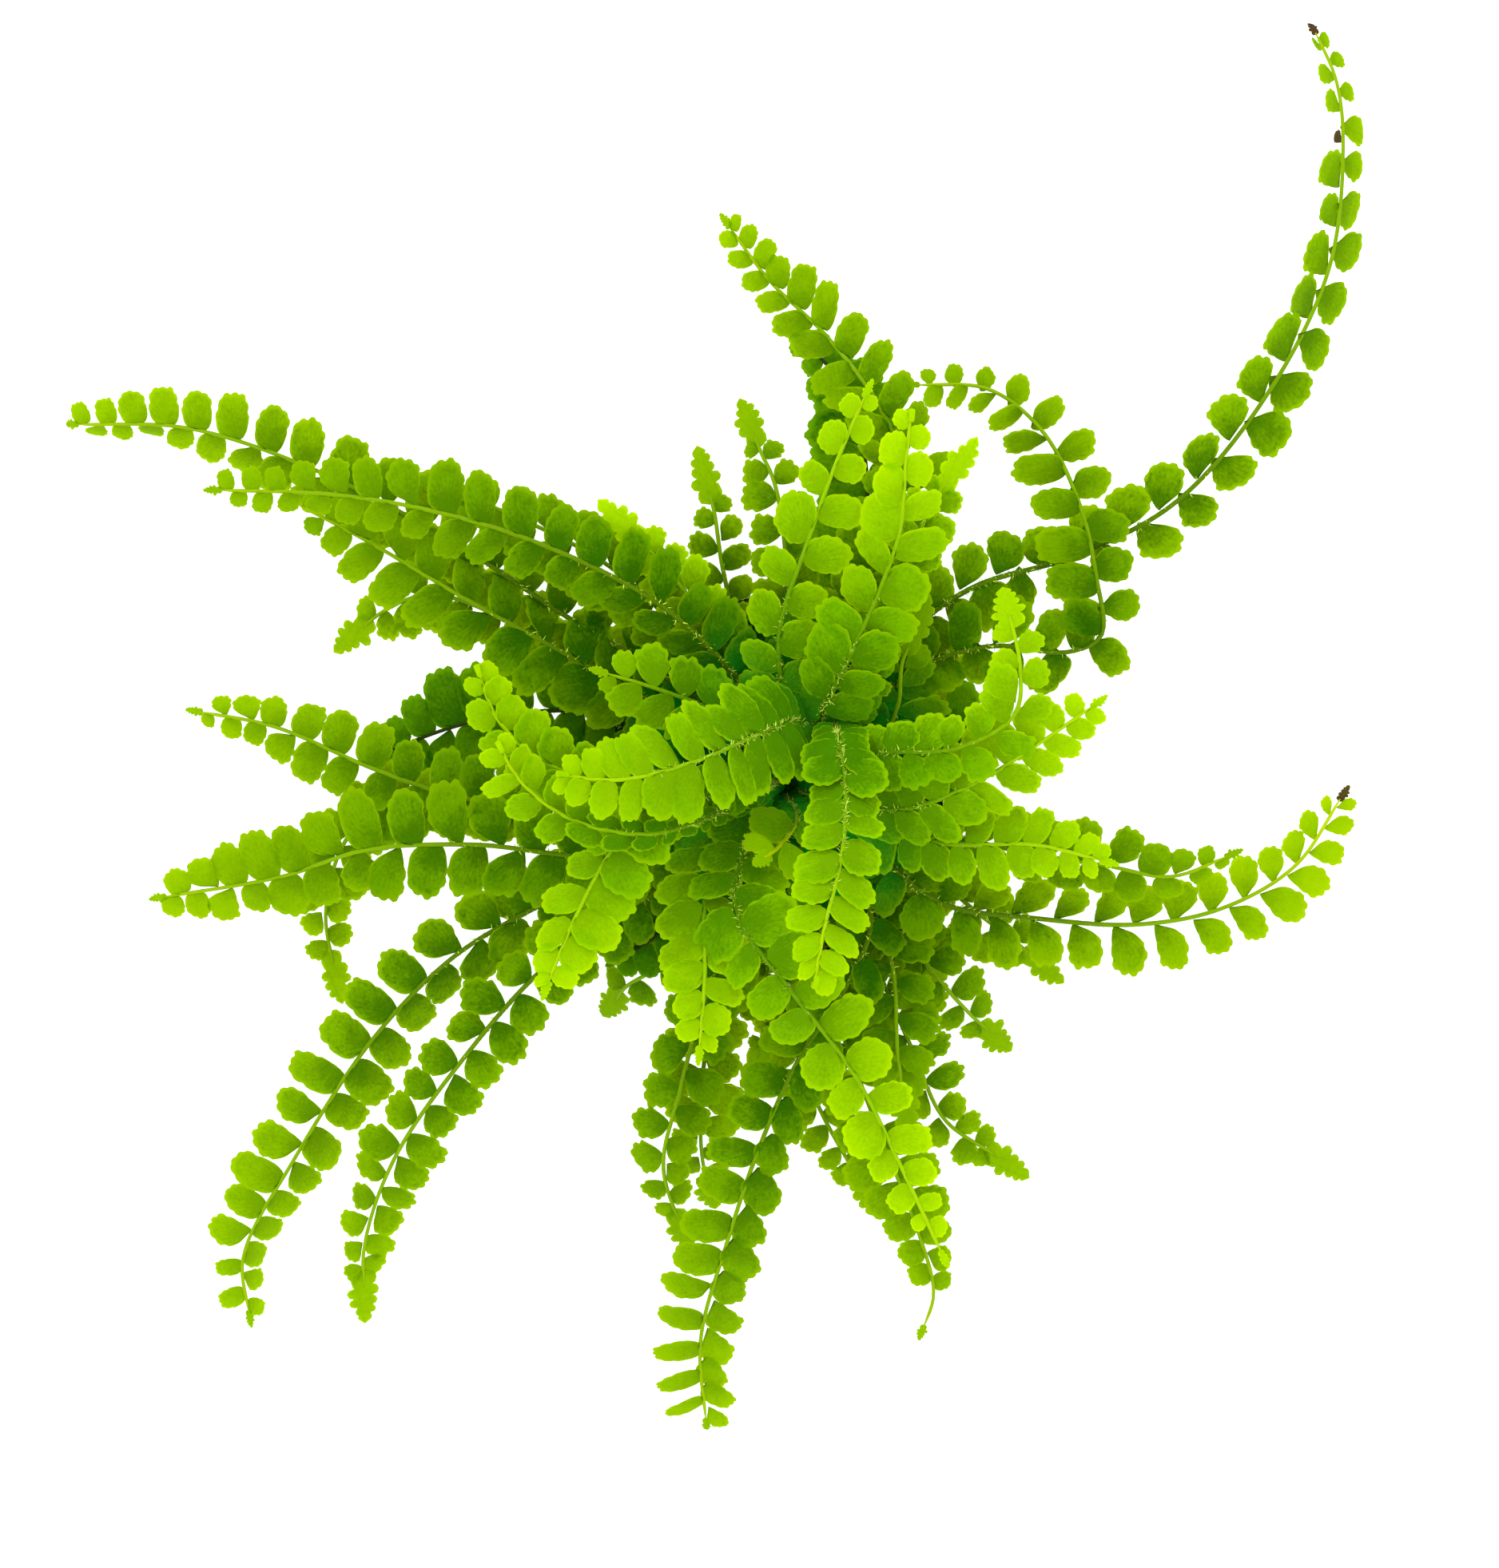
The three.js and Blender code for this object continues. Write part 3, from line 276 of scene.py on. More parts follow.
def draw(frond: int, leaflet: int, salt: int) -> float:
    """Draw a number from 0 to 1 for a leaflet, the same each time for the same salt."""
    wave = math.sin(frond * 12.9898 + leaflet * 78.233 + salt * 37.719) * 43758.5453
    return wave - math.floor(wave)


class Spline:
    """A centripetal Catmull-Rom line through points, measured by its length."""

    def __init__(self, points: np.ndarray) -> None:
        """Keep the points and measure the line.

        Args:
            points: The points it runs through, one in each row.
        """
        ahead = 2 * points[0] - points[1]
        beyond = 2 * points[-1] - points[-2]
        self.points = np.vstack([ahead, points, beyond])
        self.spans = len(points) - 1
        self.measure(200)

    def at(self, share: np.ndarray) -> np.ndarray:
        """Find places by their share of the spans, from 0 to 1.

        Args:
            share: The shares, one for each place.

        Returns:
            The places, one in each row.
        """
        where = np.clip(share, 0, 1) * self.spans
        span = np.minimum(self.spans - 1, np.floor(where).astype(int))
        t = (where - span)[:, None]
        p0, p1, p2, p3 = (self.points[span + k] for k in range(4))
        d0, d1, d2 = (np.sqrt(np.linalg.norm(b - a, axis=1))[:, None]
                      for a, b in ((p0, p1), (p1, p2), (p2, p3)))
        leave = ((p1 - p0) / d0 - (p2 - p0) / (d0 + d1) + (p2 - p1) / d1) * d1
        arrive = ((p2 - p1) / d1 - (p3 - p1) / (d1 + d2) + (p3 - p2) / d2) * d1
        square = -3 * p1 + 3 * p2 - 2 * leave - arrive
        cube = 2 * p1 - 2 * p2 + leave + arrive
        return p1 + leave * t + square * t ** 2 + cube * t ** 3

    def measure(self, divisions: int) -> None:
        """Measure the line's length along it.

        Args:
            divisions: How many chords it is measured by.
        """
        self.shares = np.linspace(0, 1, divisions + 1)
        places = self.at(self.shares)
        chords = np.linalg.norm(np.diff(places, axis=0), axis=1)
        self.lengths = np.concatenate([[0.0], np.cumsum(chords)])

    def spaced(self, count: int) -> np.ndarray:
        """Cut the line into so many equal lengths, and give the count + 1 ends of them."""
        wanted = np.linspace(0, self.lengths[-1], count + 1)
        return self.at(np.interp(wanted, self.lengths, self.shares))


@dataclass
class RibFrames:
    """Places along a rib, with the direction across the blade and the one out of its top."""

    place: np.ndarray
    forward: np.ndarray
    side: np.ndarray
    top: np.ndarray

    def axes(self, index: int) -> tuple[Vector, ...]:
        """Give the forward, side and top directions at one of the places."""
        return tuple(Vector(arrows[index]) for arrows in (self.forward, self.side, self.top))


class Route:
    """The line of one frond's rib, in millimetres, with how far it is lifted at each place."""

    def __init__(self, row: FrondRow, index: int) -> None:
        """Lay the line through the frond's foot and way.

        Args:
            row: The frond's row of the table.
            index: Its place in the table.
        """
        self.row = row
        self.index = index
        x, y = row.foot
        bottom = SOIL_TOP - FOOT_DEPTH + FIT_GAP
        stalk = [(x, y, bottom + share * FOOT_RISE) for share in (0, 0.5, 1)]
        spline = Spline(np.array([*stalk, *row.way], dtype=float))
        count = math.ceil(spline.lengths[-1] / ROUTE_STEP)
        spline.measure(count * 4)
        self.line = spline.spaced(count)
        self.step = spline.lengths[-1] / count
        self.last = count
        self.lift = np.zeros(count + 1)
        ends = np.arange(count + 1)
        headings = self.line[np.minimum(count, ends + 1)] - self.line[np.maximum(0, ends - 1)]
        headings[:, 2] = 0
        away = np.hypot(self.line[:, 0] - x, self.line[:, 1] - y)
        clear = int(np.argmax(away > HEADING_CLEAR))
        headings[:clear] = headings[clear]
        self.headings = headings / np.linalg.norm(headings, axis=1)[:, None]
        self.start = int(np.argmax(away > row.bare)) * self.step
        self.total = count * self.step

    def draw(self, leaflet: int, salt: int) -> float:
        """Draw a repeatable number from 0 to 1 for one of the frond's leaflets."""
        return draw(self.index, leaflet, salt)

    def frames(self, distances: Iterable[float]) -> RibFrames:
        """Find places and directions along the rib, straight on past its end.

        Args:
            distances: Distances from the foot.

        Returns:
            The places and directions, one row for each distance.
        """
        distances = np.asarray(distances, dtype=float)
        held = np.clip(distances, 0, self.total)
        where = held / self.step
        index = np.minimum(self.last - 1, np.floor(where).astype(int))
        part = (where - index)[:, None]
        raised = self.line.copy()
        raised[:, 2] += self.lift
        place = raised[index] * (1 - part) + raised[index + 1] * part
        forward = raised[np.minimum(self.last, index + 2)] - raised[np.maximum(0, index - 1)]
        forward /= np.linalg.norm(forward, axis=1)[:, None]
        heading = self.headings[index] * (1 - part) + self.headings[index + 1] * part
        heading /= np.linalg.norm(heading, axis=1)[:, None]
        side = np.stack([-heading[:, 1], heading[:, 0], np.zeros(len(heading))], axis=1)
        top = np.cross(forward, side)
        top /= np.linalg.norm(top, axis=1)[:, None]
        turn = math.radians(self.row.roll)
        side, top = (self.turned(arrow, forward, turn) for arrow in (side, top))
        place = place + forward * (distances - held)[:, None]
        return RibFrames(place, forward, side, top)

    @staticmethod
    def turned(arrows: np.ndarray, axes: np.ndarray, angle: float) -> np.ndarray:
        """Turn arrows about axes, row by row.

        Args:
            arrows: The arrows.
            axes: Unit axes.
            angle: The turn in radians.

        Returns:
            The turned arrows.
        """
        along = np.sum(arrows * axes, axis=1)[:, None] * axes
        return (arrows * math.cos(angle) + np.cross(axes, arrows) * math.sin(angle)
                + along * (1 - math.cos(angle)))

    def bend(self, distance: float) -> float:
        """Tell how tightly the rib bends in plan, in turns to the left.

        Args:
            distance: Distance from the foot.

        Returns:
            The turn in radians for each millimetre.
        """
        nearest = math.floor(distance / self.step + 0.5)
        index = max(BEND_SPAN, min(self.last - BEND_SPAN, nearest))
        ax, ay, _ = self.headings[index - BEND_SPAN]
        bx, by, _ = self.headings[index + BEND_SPAN]
        turn = math.atan2(ax * by - ay * bx, ax * bx + ay * by)
        return turn / (2 * BEND_SPAN * self.step)


@dataclass
class Leaflet:
    """Where one leaflet stands on its rib, in millimetres and radians."""

    at: float
    span: float
    side: int
    length: float
    width: float
    lean: float
    tilt: float
    number: int

    @property
    def middle(self) -> float:
        """Distance along the rib of the middle of its foot."""
        return self.at + self.span / 2


@dataclass(frozen=True)
class LeafletRule:
    """The rule by which leaflets stand along a rib, in millimetres and degrees."""

    stretch: float
    fill: float
    tip_bare: float = 0.8
    tip_neck: float = 1.5
    tip_room: float = 0.7
    widest: float = 1.3
    tip_pitch: float = 0.68
    least: float = 1.6
    least_span: float = 0.6
    base_lean: float = 4.0
    tip_lean: float = 16.0
    lobed_tip_lean: float = 34.0
    lean_spread: float = 8.0
    tilt_spread: float = 0.12
    length_spread: float = 0.14
    bend_room: float = 0.8
    first_share: float = 0.66
    filling_rate: float = 1.6
    fade_start: float = 0.45
    fade_power: float = 1.5
    pointed_fade: float = 0.72
    lobed_fade: float = 0.5
    low_start: float = 1.0
    least_share: float = 0.6
    crowded: float = 0.4

    def share(self, t: float, lobed: bool) -> float:
        """Tell a leaflet's length as a share of the longest.

        Args:
            t: Its place on the leafy part of the rib, from 0 to 1.
            lobed: Whether the frond ends in cut leaflets.

        Returns:
            The share.
        """
        start = min(1.0, max(self.least_share, self.first_share + self.filling_rate * t))
        fade = max(0.0, (t - self.fade_start) / (1 - self.fade_start))
        lost = self.lobed_fade if lobed else self.pointed_fade
        return start * (1 - lost * fade ** self.fade_power)

    def plan(self, route: Route, spacing: float = 1.0, bare_tip: float = 0.0,
             crowding: float = 1.0) -> list[Leaflet]:
        """Stand the leaflets along one rib, left and right by turns.

        Args:
            route: The rib.
            spacing: Pitch as a share of the row's.
            bare_tip: Length of rib without leaflets at its end.
            crowding: Pitch at the foot of the leafy part as a share of the pitch further out.

        Returns:
            The leaflets from the first to the last.
        """
        row = route.row
        end = route.total - self.tip_bare - self.tip_neck - bare_tip
        leaflets: list[Leaflet] = []
        at = route.start * self.low_start
        side = 1
        while at < end - self.least_span:
            t = (at - route.start) / (end - route.start)
            share = self.share(t, row.lobed)
            pitch = (self.stretch * spacing * row.pitch
                     * (self.tip_pitch + (1 - self.tip_pitch) * share))
            pitch *= crowding + (1 - crowding) * min(1.0, max(0.0, t) / self.crowded)
            span = min(pitch / 2, end - at)
            number = len(leaflets)
            tip = self.lobed_tip_lean if row.lobed else self.tip_lean
            lean = self.base_lean + (tip - self.base_lean) * max(0.0, t) ** 2
            lean += self.lean_spread * (route.draw(number, 1) - 0.5)
            room = self.bend_room / max(1e-6, side * route.bend(at + span / 2))
            free = row.reach * share * (1 + self.length_spread * (route.draw(number, 2) - 0.5))
            length = max(self.least, min(free, room))
            ahead = 2 * (end + self.tip_room - at) - span
            width = min(self.fill * pitch, self.widest * length, ahead)
            tilt = self.tilt_spread * (route.draw(number, 3) - 0.5)
            leaflets.append(Leaflet(at, span, side, length, width, math.radians(lean), tilt,
                                    number))
            at += span
            side = -side
        return leaflets


# The solids' leaflets are fewer and wider than the plant's, and set how high each rib lies.
SOLID_RULE = LeafletRule(stretch=1.4, fill=0.9)
PLANT_RULE = LeafletRule(stretch=1.0, fill=1.0, tip_neck=0.4, tip_room=1.5, widest=1.15,
                         tip_pitch=0.4, low_start=0.2, fade_start=0.6, fade_power=1.3,
                         pointed_fade=0.68, lean_spread=15.0, length_spread=0.26,
                         first_share=0.82)


@dataclass
class Layering:
    """Lays the fronds over each other, lowest first, on a square grid of heights in plan."""

    cell: float = 1.0
    half: float = 170.0
    gap: float = 0.75
    slope: float = 0.9
    smooth: float = 5.0
    lift_start: float = 0.8
    lift_full: float = 2.0
    sag: float = 0.11
    shingle: float = 0.5
    terminal_lobed: float = 7.0
    terminal_pointed: float = 2.6
    rim_cover: tuple[float, float] = (-4.0, 1.0)
    cover_along: int = 6
    cover_out: int = 7
    cover_first: float = 0.1
    neck_share: float = 0.35
    neck_width: float = 0.6
    tip_half: float = 0.3
    laid: np.ndarray = field(init=False)

    def __post_init__(self) -> None:
        """Start with the pot's rim, which the lowest fronds pass over."""
        cells = round(2 * self.half / self.cell)
        self.laid = np.full((cells, cells), -1.0)
        ticks = np.arange(cells) * self.cell - self.half
        beyond = np.hypot(ticks[:, None], ticks[None, :]) - POT_RIM_DIAMETER / 2
        low, high = self.rim_cover
        self.laid[(beyond > low) & (beyond < high)] = POT_HEIGHT

    def cells_of(self, points: np.ndarray) -> tuple[np.ndarray, np.ndarray]:
        """Tell the two indices of each point's cell."""
        found = np.floor((points[:, :2] + self.half) / self.cell + 0.5).astype(int)
        return found[:, 0], found[:, 1]

    def height_below(self, points: np.ndarray) -> np.ndarray:
        """Tell how high the fronds already lie around each point.

        Args:
            points: Points, one in each row.

        Returns:
            The highest of the nine cells round each point.
        """
        i, j = self.cells_of(points)
        around = [self.laid[i + a, j + b] for a in (-1, 0, 1) for b in (-1, 0, 1)]
        return np.max(around, axis=0)

    def cover(self, route: Route,
              leaflets: list[Leaflet]) -> tuple[np.ndarray, np.ndarray, np.ndarray]:
        """Scatter points over a frond's solid.

        Args:
            route: The frond's rib.
            leaflets: The leaflets of its solid.

        Returns:
            For each point the distance along the rib that it belongs to, its place and half
            the thickness there.
        """
        stops = np.arange(0, route.total + 1e-9, ROUTE_STEP)
        ats = [stops]
        places = [route.frames(stops).place]
        halves = [np.full(len(stops), RIB_HEIGHT / 2)]
        share = np.tile(np.linspace(self.cover_first, 1, self.cover_out), self.cover_along)
        along_share = np.repeat(np.linspace(-0.5, 0.5, self.cover_along), self.cover_out)
        narrowed = np.where(share < self.neck_share, self.neck_width, 1.0)
        for leaflet in leaflets:
            along = along_share * (leaflet.width * narrowed)
            out = share * leaflet.length
            cos, sin = math.cos(leaflet.lean), math.sin(leaflet.lean)
            frames = route.frames(leaflet.middle + along * cos + out * sin)
            across = leaflet.side * (out * cos - along * sin)
            rise = (leaflet.tilt * out - self.sag * leaflet.length * share ** 2
                    + self.shingle * along / leaflet.width)
            ats.append(leaflet.middle + along + out * sin)
            places.append(frames.place + frames.side * across[:, None]
                          + frames.top * rise[:, None])
            halves.append(np.full(len(out), BLADE / 2))
        size = self.terminal_lobed if route.row.lobed else self.terminal_pointed
        ahead = np.repeat(np.arange(0, size + 1e-9, 1.0), 3)
        across = np.tile([-self.tip_half, 0, self.tip_half], len(ahead) // 3) * size
        frames = route.frames(route.total + ahead)
        ats.append(np.full(len(ahead), route.total))
        places.append(frames.place + frames.side * across[:, None])
        halves.append(np.full(len(ahead), BLADE / 2))
        return np.concatenate(ats), np.vstack(places), np.concatenate(halves)

    def lay(self, route: Route) -> None:
        """Raise a frond smoothly until it clears what lies below it, and lay it down.

        Args:
            route: The frond's rib, whose lift is set.
        """
        leaflets = SOLID_RULE.plan(route)
        ats, places, halves = self.cover(route, leaflets)
        stations = np.clip(np.floor(ats / route.step + 0.5).astype(int), 0, route.last)
        need = np.zeros(route.last + 1)
        below = self.height_below(places) + self.gap
        np.maximum.at(need, stations, below - (places[:, 2] - halves))
        drop = self.slope * route.step
        for i in range(1, route.last + 1):
            need[i] = max(need[i], need[i - 1] - drop)
        for i in range(route.last - 1, -1, -1):
            need[i] = max(need[i], need[i + 1] - drop)
        reach = math.floor(self.smooth / route.step + 0.5)
        windows = [slice(max(0, i - reach), i + reach + 1) for i in range(route.last + 1)]
        widened = np.array([need[window].max() for window in windows])
        mean = np.array([widened[window].mean() for window in windows])
        foot = FOOT_RISE / route.step
        t = np.arange(route.last + 1) - self.lift_start * foot
        t = np.clip(t / ((self.lift_full - self.lift_start) * foot), 0, 1)
        route.lift = mean * t * t * (3 - 2 * t)
        _, places, halves = self.cover(route, leaflets)
        np.maximum.at(self.laid, self.cells_of(places), places[:, 2] + halves)


# Node trees written as expressions

@dataclass(frozen=True)
class Wire:
    """A node's output, or a number worked out from outputs by + - * and the named steps."""

    sheet: "NodeSheet"
    socket: bpy.types.NodeSocket

    def math(self, operation: str, *others: "Value", reflected: bool = False) -> "Wire":
        """Put one Math node after this output.

        Args:
            operation: The Math node's operation.
            others: The other values it takes.
            reflected: Whether this output comes second.

        Returns:
            The result.
        """
        values: list[Any] = [self, *others]
        if reflected:
            values.reverse()
        node = self.sheet.add("ShaderNodeMath", {"operation": operation}, dict(enumerate(values)))
        return node.out("Value")

    def __add__(self, other: "Value") -> "Wire":
        """Add a value."""
        return self.math("ADD", other)

    __radd__ = __add__

    def __mul__(self, other: "Value") -> "Wire":
        """Multiply by a value."""
        return self.math("MULTIPLY", other)

    __rmul__ = __mul__

    def __sub__(self, other: "Value") -> "Wire":
        """Subtract a value."""
        return self.math("SUBTRACT", other)

    def __rsub__(self, other: "Value") -> "Wire":
        """Subtract this from a value."""
        return self.math("SUBTRACT", other, reflected=True)

    def within(self, low: float, high: float) -> "Wire":
        """Ease from 0 at low to 1 at high, and stay between them beyond."""
        settings = {"interpolation_type": "SMOOTHSTEP"}
        node = self.sheet.add("ShaderNodeMapRange", settings, {0: self, 1: low, 2: high})
        return node.out("Result")

    def clamped(self) -> "Wire":
        """Hold between 0 and 1."""
        return self.math("MAXIMUM", 0.0).math("MINIMUM", 1.0)


Value = Union[Wire, float]


def chosen_socket(sockets: Any, name: Union[str, int]) -> bpy.types.NodeSocket:
    """Find a socket by its place, or by its name among those in use.

    Args:
        sockets: A node's inputs or outputs.
        name: The socket's name or place.

    Returns:
        The socket.
    """
    if isinstance(name, int):
        return sockets[name]
    return next(socket for socket in sockets if socket.name == name and socket.enabled)


@dataclass(frozen=True)
class NodeHandle:
    """A node on a sheet, whose outputs are taken by name."""

    sheet: "NodeSheet"
    node: bpy.types.Node

    def out(self, name: Union[str, int]) -> Wire:
        """Take one output by its name or place."""
        return Wire(self.sheet, chosen_socket(self.node.outputs, name))


class NodeSheet:
    """A node tree that nodes are added to, one call for each."""

    def __init__(self, tree: bpy.types.NodeTree) -> None:
        """Clear a tree and work on it."""
        self.tree = tree
        tree.nodes.clear()

    def add(self, kind: str, settings: Union[dict[str, Any], None] = None,
            values: Union[dict[Union[str, int], Any], None] = None) -> NodeHandle:
        """Add a node, with its settings first and then the values or links of its sockets.

        Args:
            kind: The node's type.
            settings: Its properties.
            values: For each input, by name or place, a number, a colour, a Wire or a list of
                Wires.

        Returns:
            The node.
        """
        node = self.tree.nodes.new(kind)
        for name, setting in (settings or {}).items():
            setattr(node, name, setting)
        for name, value in (values or {}).items():
            socket = chosen_socket(node.inputs, name)
            wires = [value] if isinstance(value, Wire) else value
            if isinstance(wires, list):
                for wire in reversed(wires):
                    self.tree.links.new(wire.socket, socket)
            elif isinstance(value, tuple) and socket.type == "RGBA":
                socket.default_value = (*value, 1)
            else:
                socket.default_value = value
        return NodeHandle(self, node)

    def named(self, name: str, kind: str) -> Wire:
        """Read a value of a data type that the geometry carries under a name."""
        node = self.add("GeometryNodeInputNamedAttribute", {"data_type": kind}, {"Name": name})
        return node.out("Attribute")

    def store(self, geometry: Wire, name: str, kind: str, value: Any,
              domain: str = "POINT") -> Wire:
        """Make the geometry carry a value.

        Args:
            geometry: The geometry.
            name: The value's name.
            kind: Its data type.
            value: The value.
            domain: What carries it.

        Returns:
            The geometry.
        """
        settings = {"data_type": kind, "domain": domain}
        values = {"Geometry": geometry, "Name": name, "Value": value}
        return self.add("GeometryNodeStoreNamedAttribute", settings, values).out("Geometry")

    def join(self, *pieces: Wire) -> Wire:
        """Put several geometries together, the first one first."""
        return self.add("GeometryNodeJoinGeometry", None, {0: list(pieces)}).out("Geometry")

    def random(self, low: Any, high: Any, seed: int) -> Wire:
        """Draw a number or a vector for each instance.

        Args:
            low: The lowest, a number or three.
            high: The highest, of the same kind.
            seed: The draw's seed.

        Returns:
            The drawn value.
        """
        kind, first = ("FLOAT_VECTOR", 0) if isinstance(low, tuple) else ("FLOAT", 2)
        values = {first: low, first + 1: high, "Seed": seed}
        return self.add("FunctionNodeRandomValue", {"data_type": kind}, values).out(first // 2)

    def rotation(self, euler: Wire) -> Wire:
        """Turn three angles into a rotation."""
        return self.add("FunctionNodeEulerToRotation", None, {"Euler": euler}).out("Rotation")

    def principled(self, values: dict[str, Any]) -> Wire:
        """Make the usual shader of a surface."""
        return self.add("ShaderNodeBsdfPrincipled", None, values).out("BSDF")

    def attribute(self, name: str) -> Wire:
        """Read a number that the piece's mesh carries."""
        return self.add("ShaderNodeAttribute", {"attribute_name": name}).out("Fac")

    def place(self) -> Wire:
        """Read the place on the object, in metres."""
        return self.add("ShaderNodeTexCoord").out("Object")

    def parts(self, vector: Wire) -> tuple[Wire, Wire, Wire]:
        """Split a vector in three."""
        node = self.add("ShaderNodeSeparateXYZ", None, {0: vector})
        return node.out("X"), node.out("Y"), node.out("Z")

    def noise(self, vector: Wire, scale: float, detail: float = 3.0) -> Wire:
        """Read a cloudy pattern round 0.5, its scale in clouds for each metre."""
        values = {"Vector": vector, "Scale": scale, "Detail": detail}
        return self.add("ShaderNodeTexNoise", None, values).out("Fac")

    def blend(self, share: Value, first: Any, second: Any) -> Wire:
        """Mix two colours, share being how much there is of the second."""
        settings = {"data_type": "RGBA"}
        return self.add("ShaderNodeMix", settings, {0: share, 6: first, 7: second}).out(2)

    def relief(self, height: Wire, strength: float, distance: float) -> Wire:
        """Turn a height pattern from 0 to 1 into a normal, its real height in metres."""
        values = {"Strength": strength, "Distance": distance, "Height": height}
        return self.add("ShaderNodeBump", None, values).out("Normal")


# Finishes

@dataclass(frozen=True)
class Finish:
    """A finish with its name, whose shader each kind draws."""

    name: str

    def shader(self, sheet: NodeSheet) -> Wire:
        """Draw the shader on a sheet."""
        raise NotImplementedError

    def build(self) -> bpy.types.Material:
        """Make the material.

        Returns:
            The material.
        """
        material = bpy.data.materials.new(self.name)
        material.use_nodes = True
        sheet = NodeSheet(material.node_tree)
        sheet.add("ShaderNodeOutputMaterial", None, {"Surface": self.shader(sheet)})
        return material


@dataclass(frozen=True)
class LeafFinish(Finish):
    """The finish of one kind of leaflet: thin, with light through it, and forked veins."""

    deep: Colour
    bright: Colour
    fresh: Colour
    through: Colour
    through_share: float
    roughness: float = 0.55
    gloss: float = 0.01
    veins: float = 9.0
    vein_start: tuple[float, float] = (0.3, -0.03)
    vein_depth: float = 0.3
    foot_tone_and_shade: float = 0.95
    relief_height: float = 0.00025
    cloud_scale: float = 260.0
    grain_scale: float = 1500.0
    dot_scale: float = 1250.0
    withered: Colour = (0.07, 0.04, 0.015)
    # Painted shade: the cool green that light takes once it has filtered down through the fronds,
    # painted on leaves low in the middle of the plant.
    heart_shade_colour: Colour = (0.0, 0.3, 0.013)
    heart_shade_radius: float = 0.036
    heart_shade_height: float = 0.092

    def depth(self, sheet: NodeSheet, place: Wire) -> Wire:
        """Tell how deep a place lies in the middle of the plant, where the green of deep shade is
        painted.

        Args:
            sheet: The sheet to draw on.
            place: The place.

        Returns:
            1 low in the middle of the plant, and 0 outside it or above it.
        """
        x, y, z = sheet.parts(place)
        away = (x * x + y * y).math("SQRT")
        outside = away.within(0.6 * self.heart_shade_radius, self.heart_shade_radius)
        above = z.within(0.8 * self.heart_shade_height, self.heart_shade_height)
        return (1 - outside) * (1 - above)

    def vein_mask(self, sheet: NodeSheet) -> tuple[Wire, Wire]:
        """Draw veins that fan out from the leaflet's foot and fork once.

        Args:
            sheet: The sheet to draw on.

        Returns:
            1 on a vein and 0 between veins, and the distance from the foot.
        """
        flat = sheet.add("ShaderNodeUVMap", {"uv_map": "leaf_uv"}).out("UV")
        u, v, _ = sheet.parts(flat)
        start_u, start_v = self.vein_start
        away = u - start_u
        up = v - start_v
        angle = away.math("ARCTAN2", up)
        radius = (away * away + up * up).math("SQRT")
        few = (angle * self.veins).math("SINE").math("ABSOLUTE")
        many = (angle * (2 * self.veins)).math("SINE").math("ABSOLUTE")
        forked = radius.within(0.3, 0.5)
        line = few + (many - few) * forked
        return (1 - line.within(0.03, 0.42)) * (1 - radius.within(0.75, 1.0)), radius

    def shader(self, sheet: NodeSheet) -> Wire:
        """Draw the shader.

        Args:
            sheet: The sheet to draw on.

        Returns:
            The shader.
        """
        place = sheet.place()
        # tone carries each leaflet's random tone plus its frond's shade run: painted shade below 0
        # and painted light above 0.
        tone = sheet.attribute("tone")
        fresh = sheet.attribute("fresh")
        margin = sheet.attribute("margin")
        dry = sheet.attribute("dry")
        vein, radius = self.vein_mask(sheet)
        cloud = sheet.noise(place, self.cloud_scale)
        grain = sheet.noise(place, self.grain_scale, 2.0)
        dots = sheet.noise(place, self.dot_scale, 1.0).within(0.6, 0.68)
        # The margins are painted lighter and fresher: a painted glow of the light that passes
        # through the thin edge.
        rim = margin.within(0.8, 0.98)
        # Each leaflet darkens towards its foot: partly its own thicker base, partly painted shade
        # where the leaflets overlap near the rib.
        foot = 1 - radius.within(0.0, 0.85)
        light = (0.74 + tone * 0.24 + (cloud - 0.5) * 1.5 + (grain - 0.5) * 1.9 + rim * 0.6
                 - vein * self.vein_depth - foot * self.foot_tone_and_shade - dots * 0.3)
        colour = sheet.blend(light.clamped(), self.deep, self.bright)
        colour = sheet.blend((fresh * 0.62 + rim * 0.26).clamped(), colour, self.fresh)
        # depth paints the green of deep shade on leaves low in the middle of the plant, and lets
        # less light through them.
        depth = self.depth(sheet, place)
        colour = sheet.blend(depth * 0.85, colour, self.heart_shade_colour)
        colour = sheet.blend(dry.clamped(), colour, self.withered)
        height = (1 - vein) * 0.6 + cloud * 0.3 + grain * 0.1
        normal = sheet.relief(height, 0.4, self.relief_height)
        body = sheet.principled({
            "Base Color": colour,
            "Roughness": (self.roughness + (grain - 0.5) * 0.2).clamped(),
            "Specular IOR Level": self.gloss,
            "Normal": normal,
        })
        passing = sheet.add("ShaderNodeBsdfTranslucent", None, {"Color": self.through})
        share = (self.through_share + tone * 0.07 + (cloud - 0.5) * 0.24 + (grain - 0.5) * 0.3
                 + rim * 0.2 + fresh * 0.1 - vein * 0.1 - foot * 0.2 - dots * 0.08 - dry * 0.5
                 - depth * 0.45)
        return sheet.add("ShaderNodeMixShader", None,
                         {0: share.clamped(), 1: body, 2: passing.out("BSDF")}).out(0)


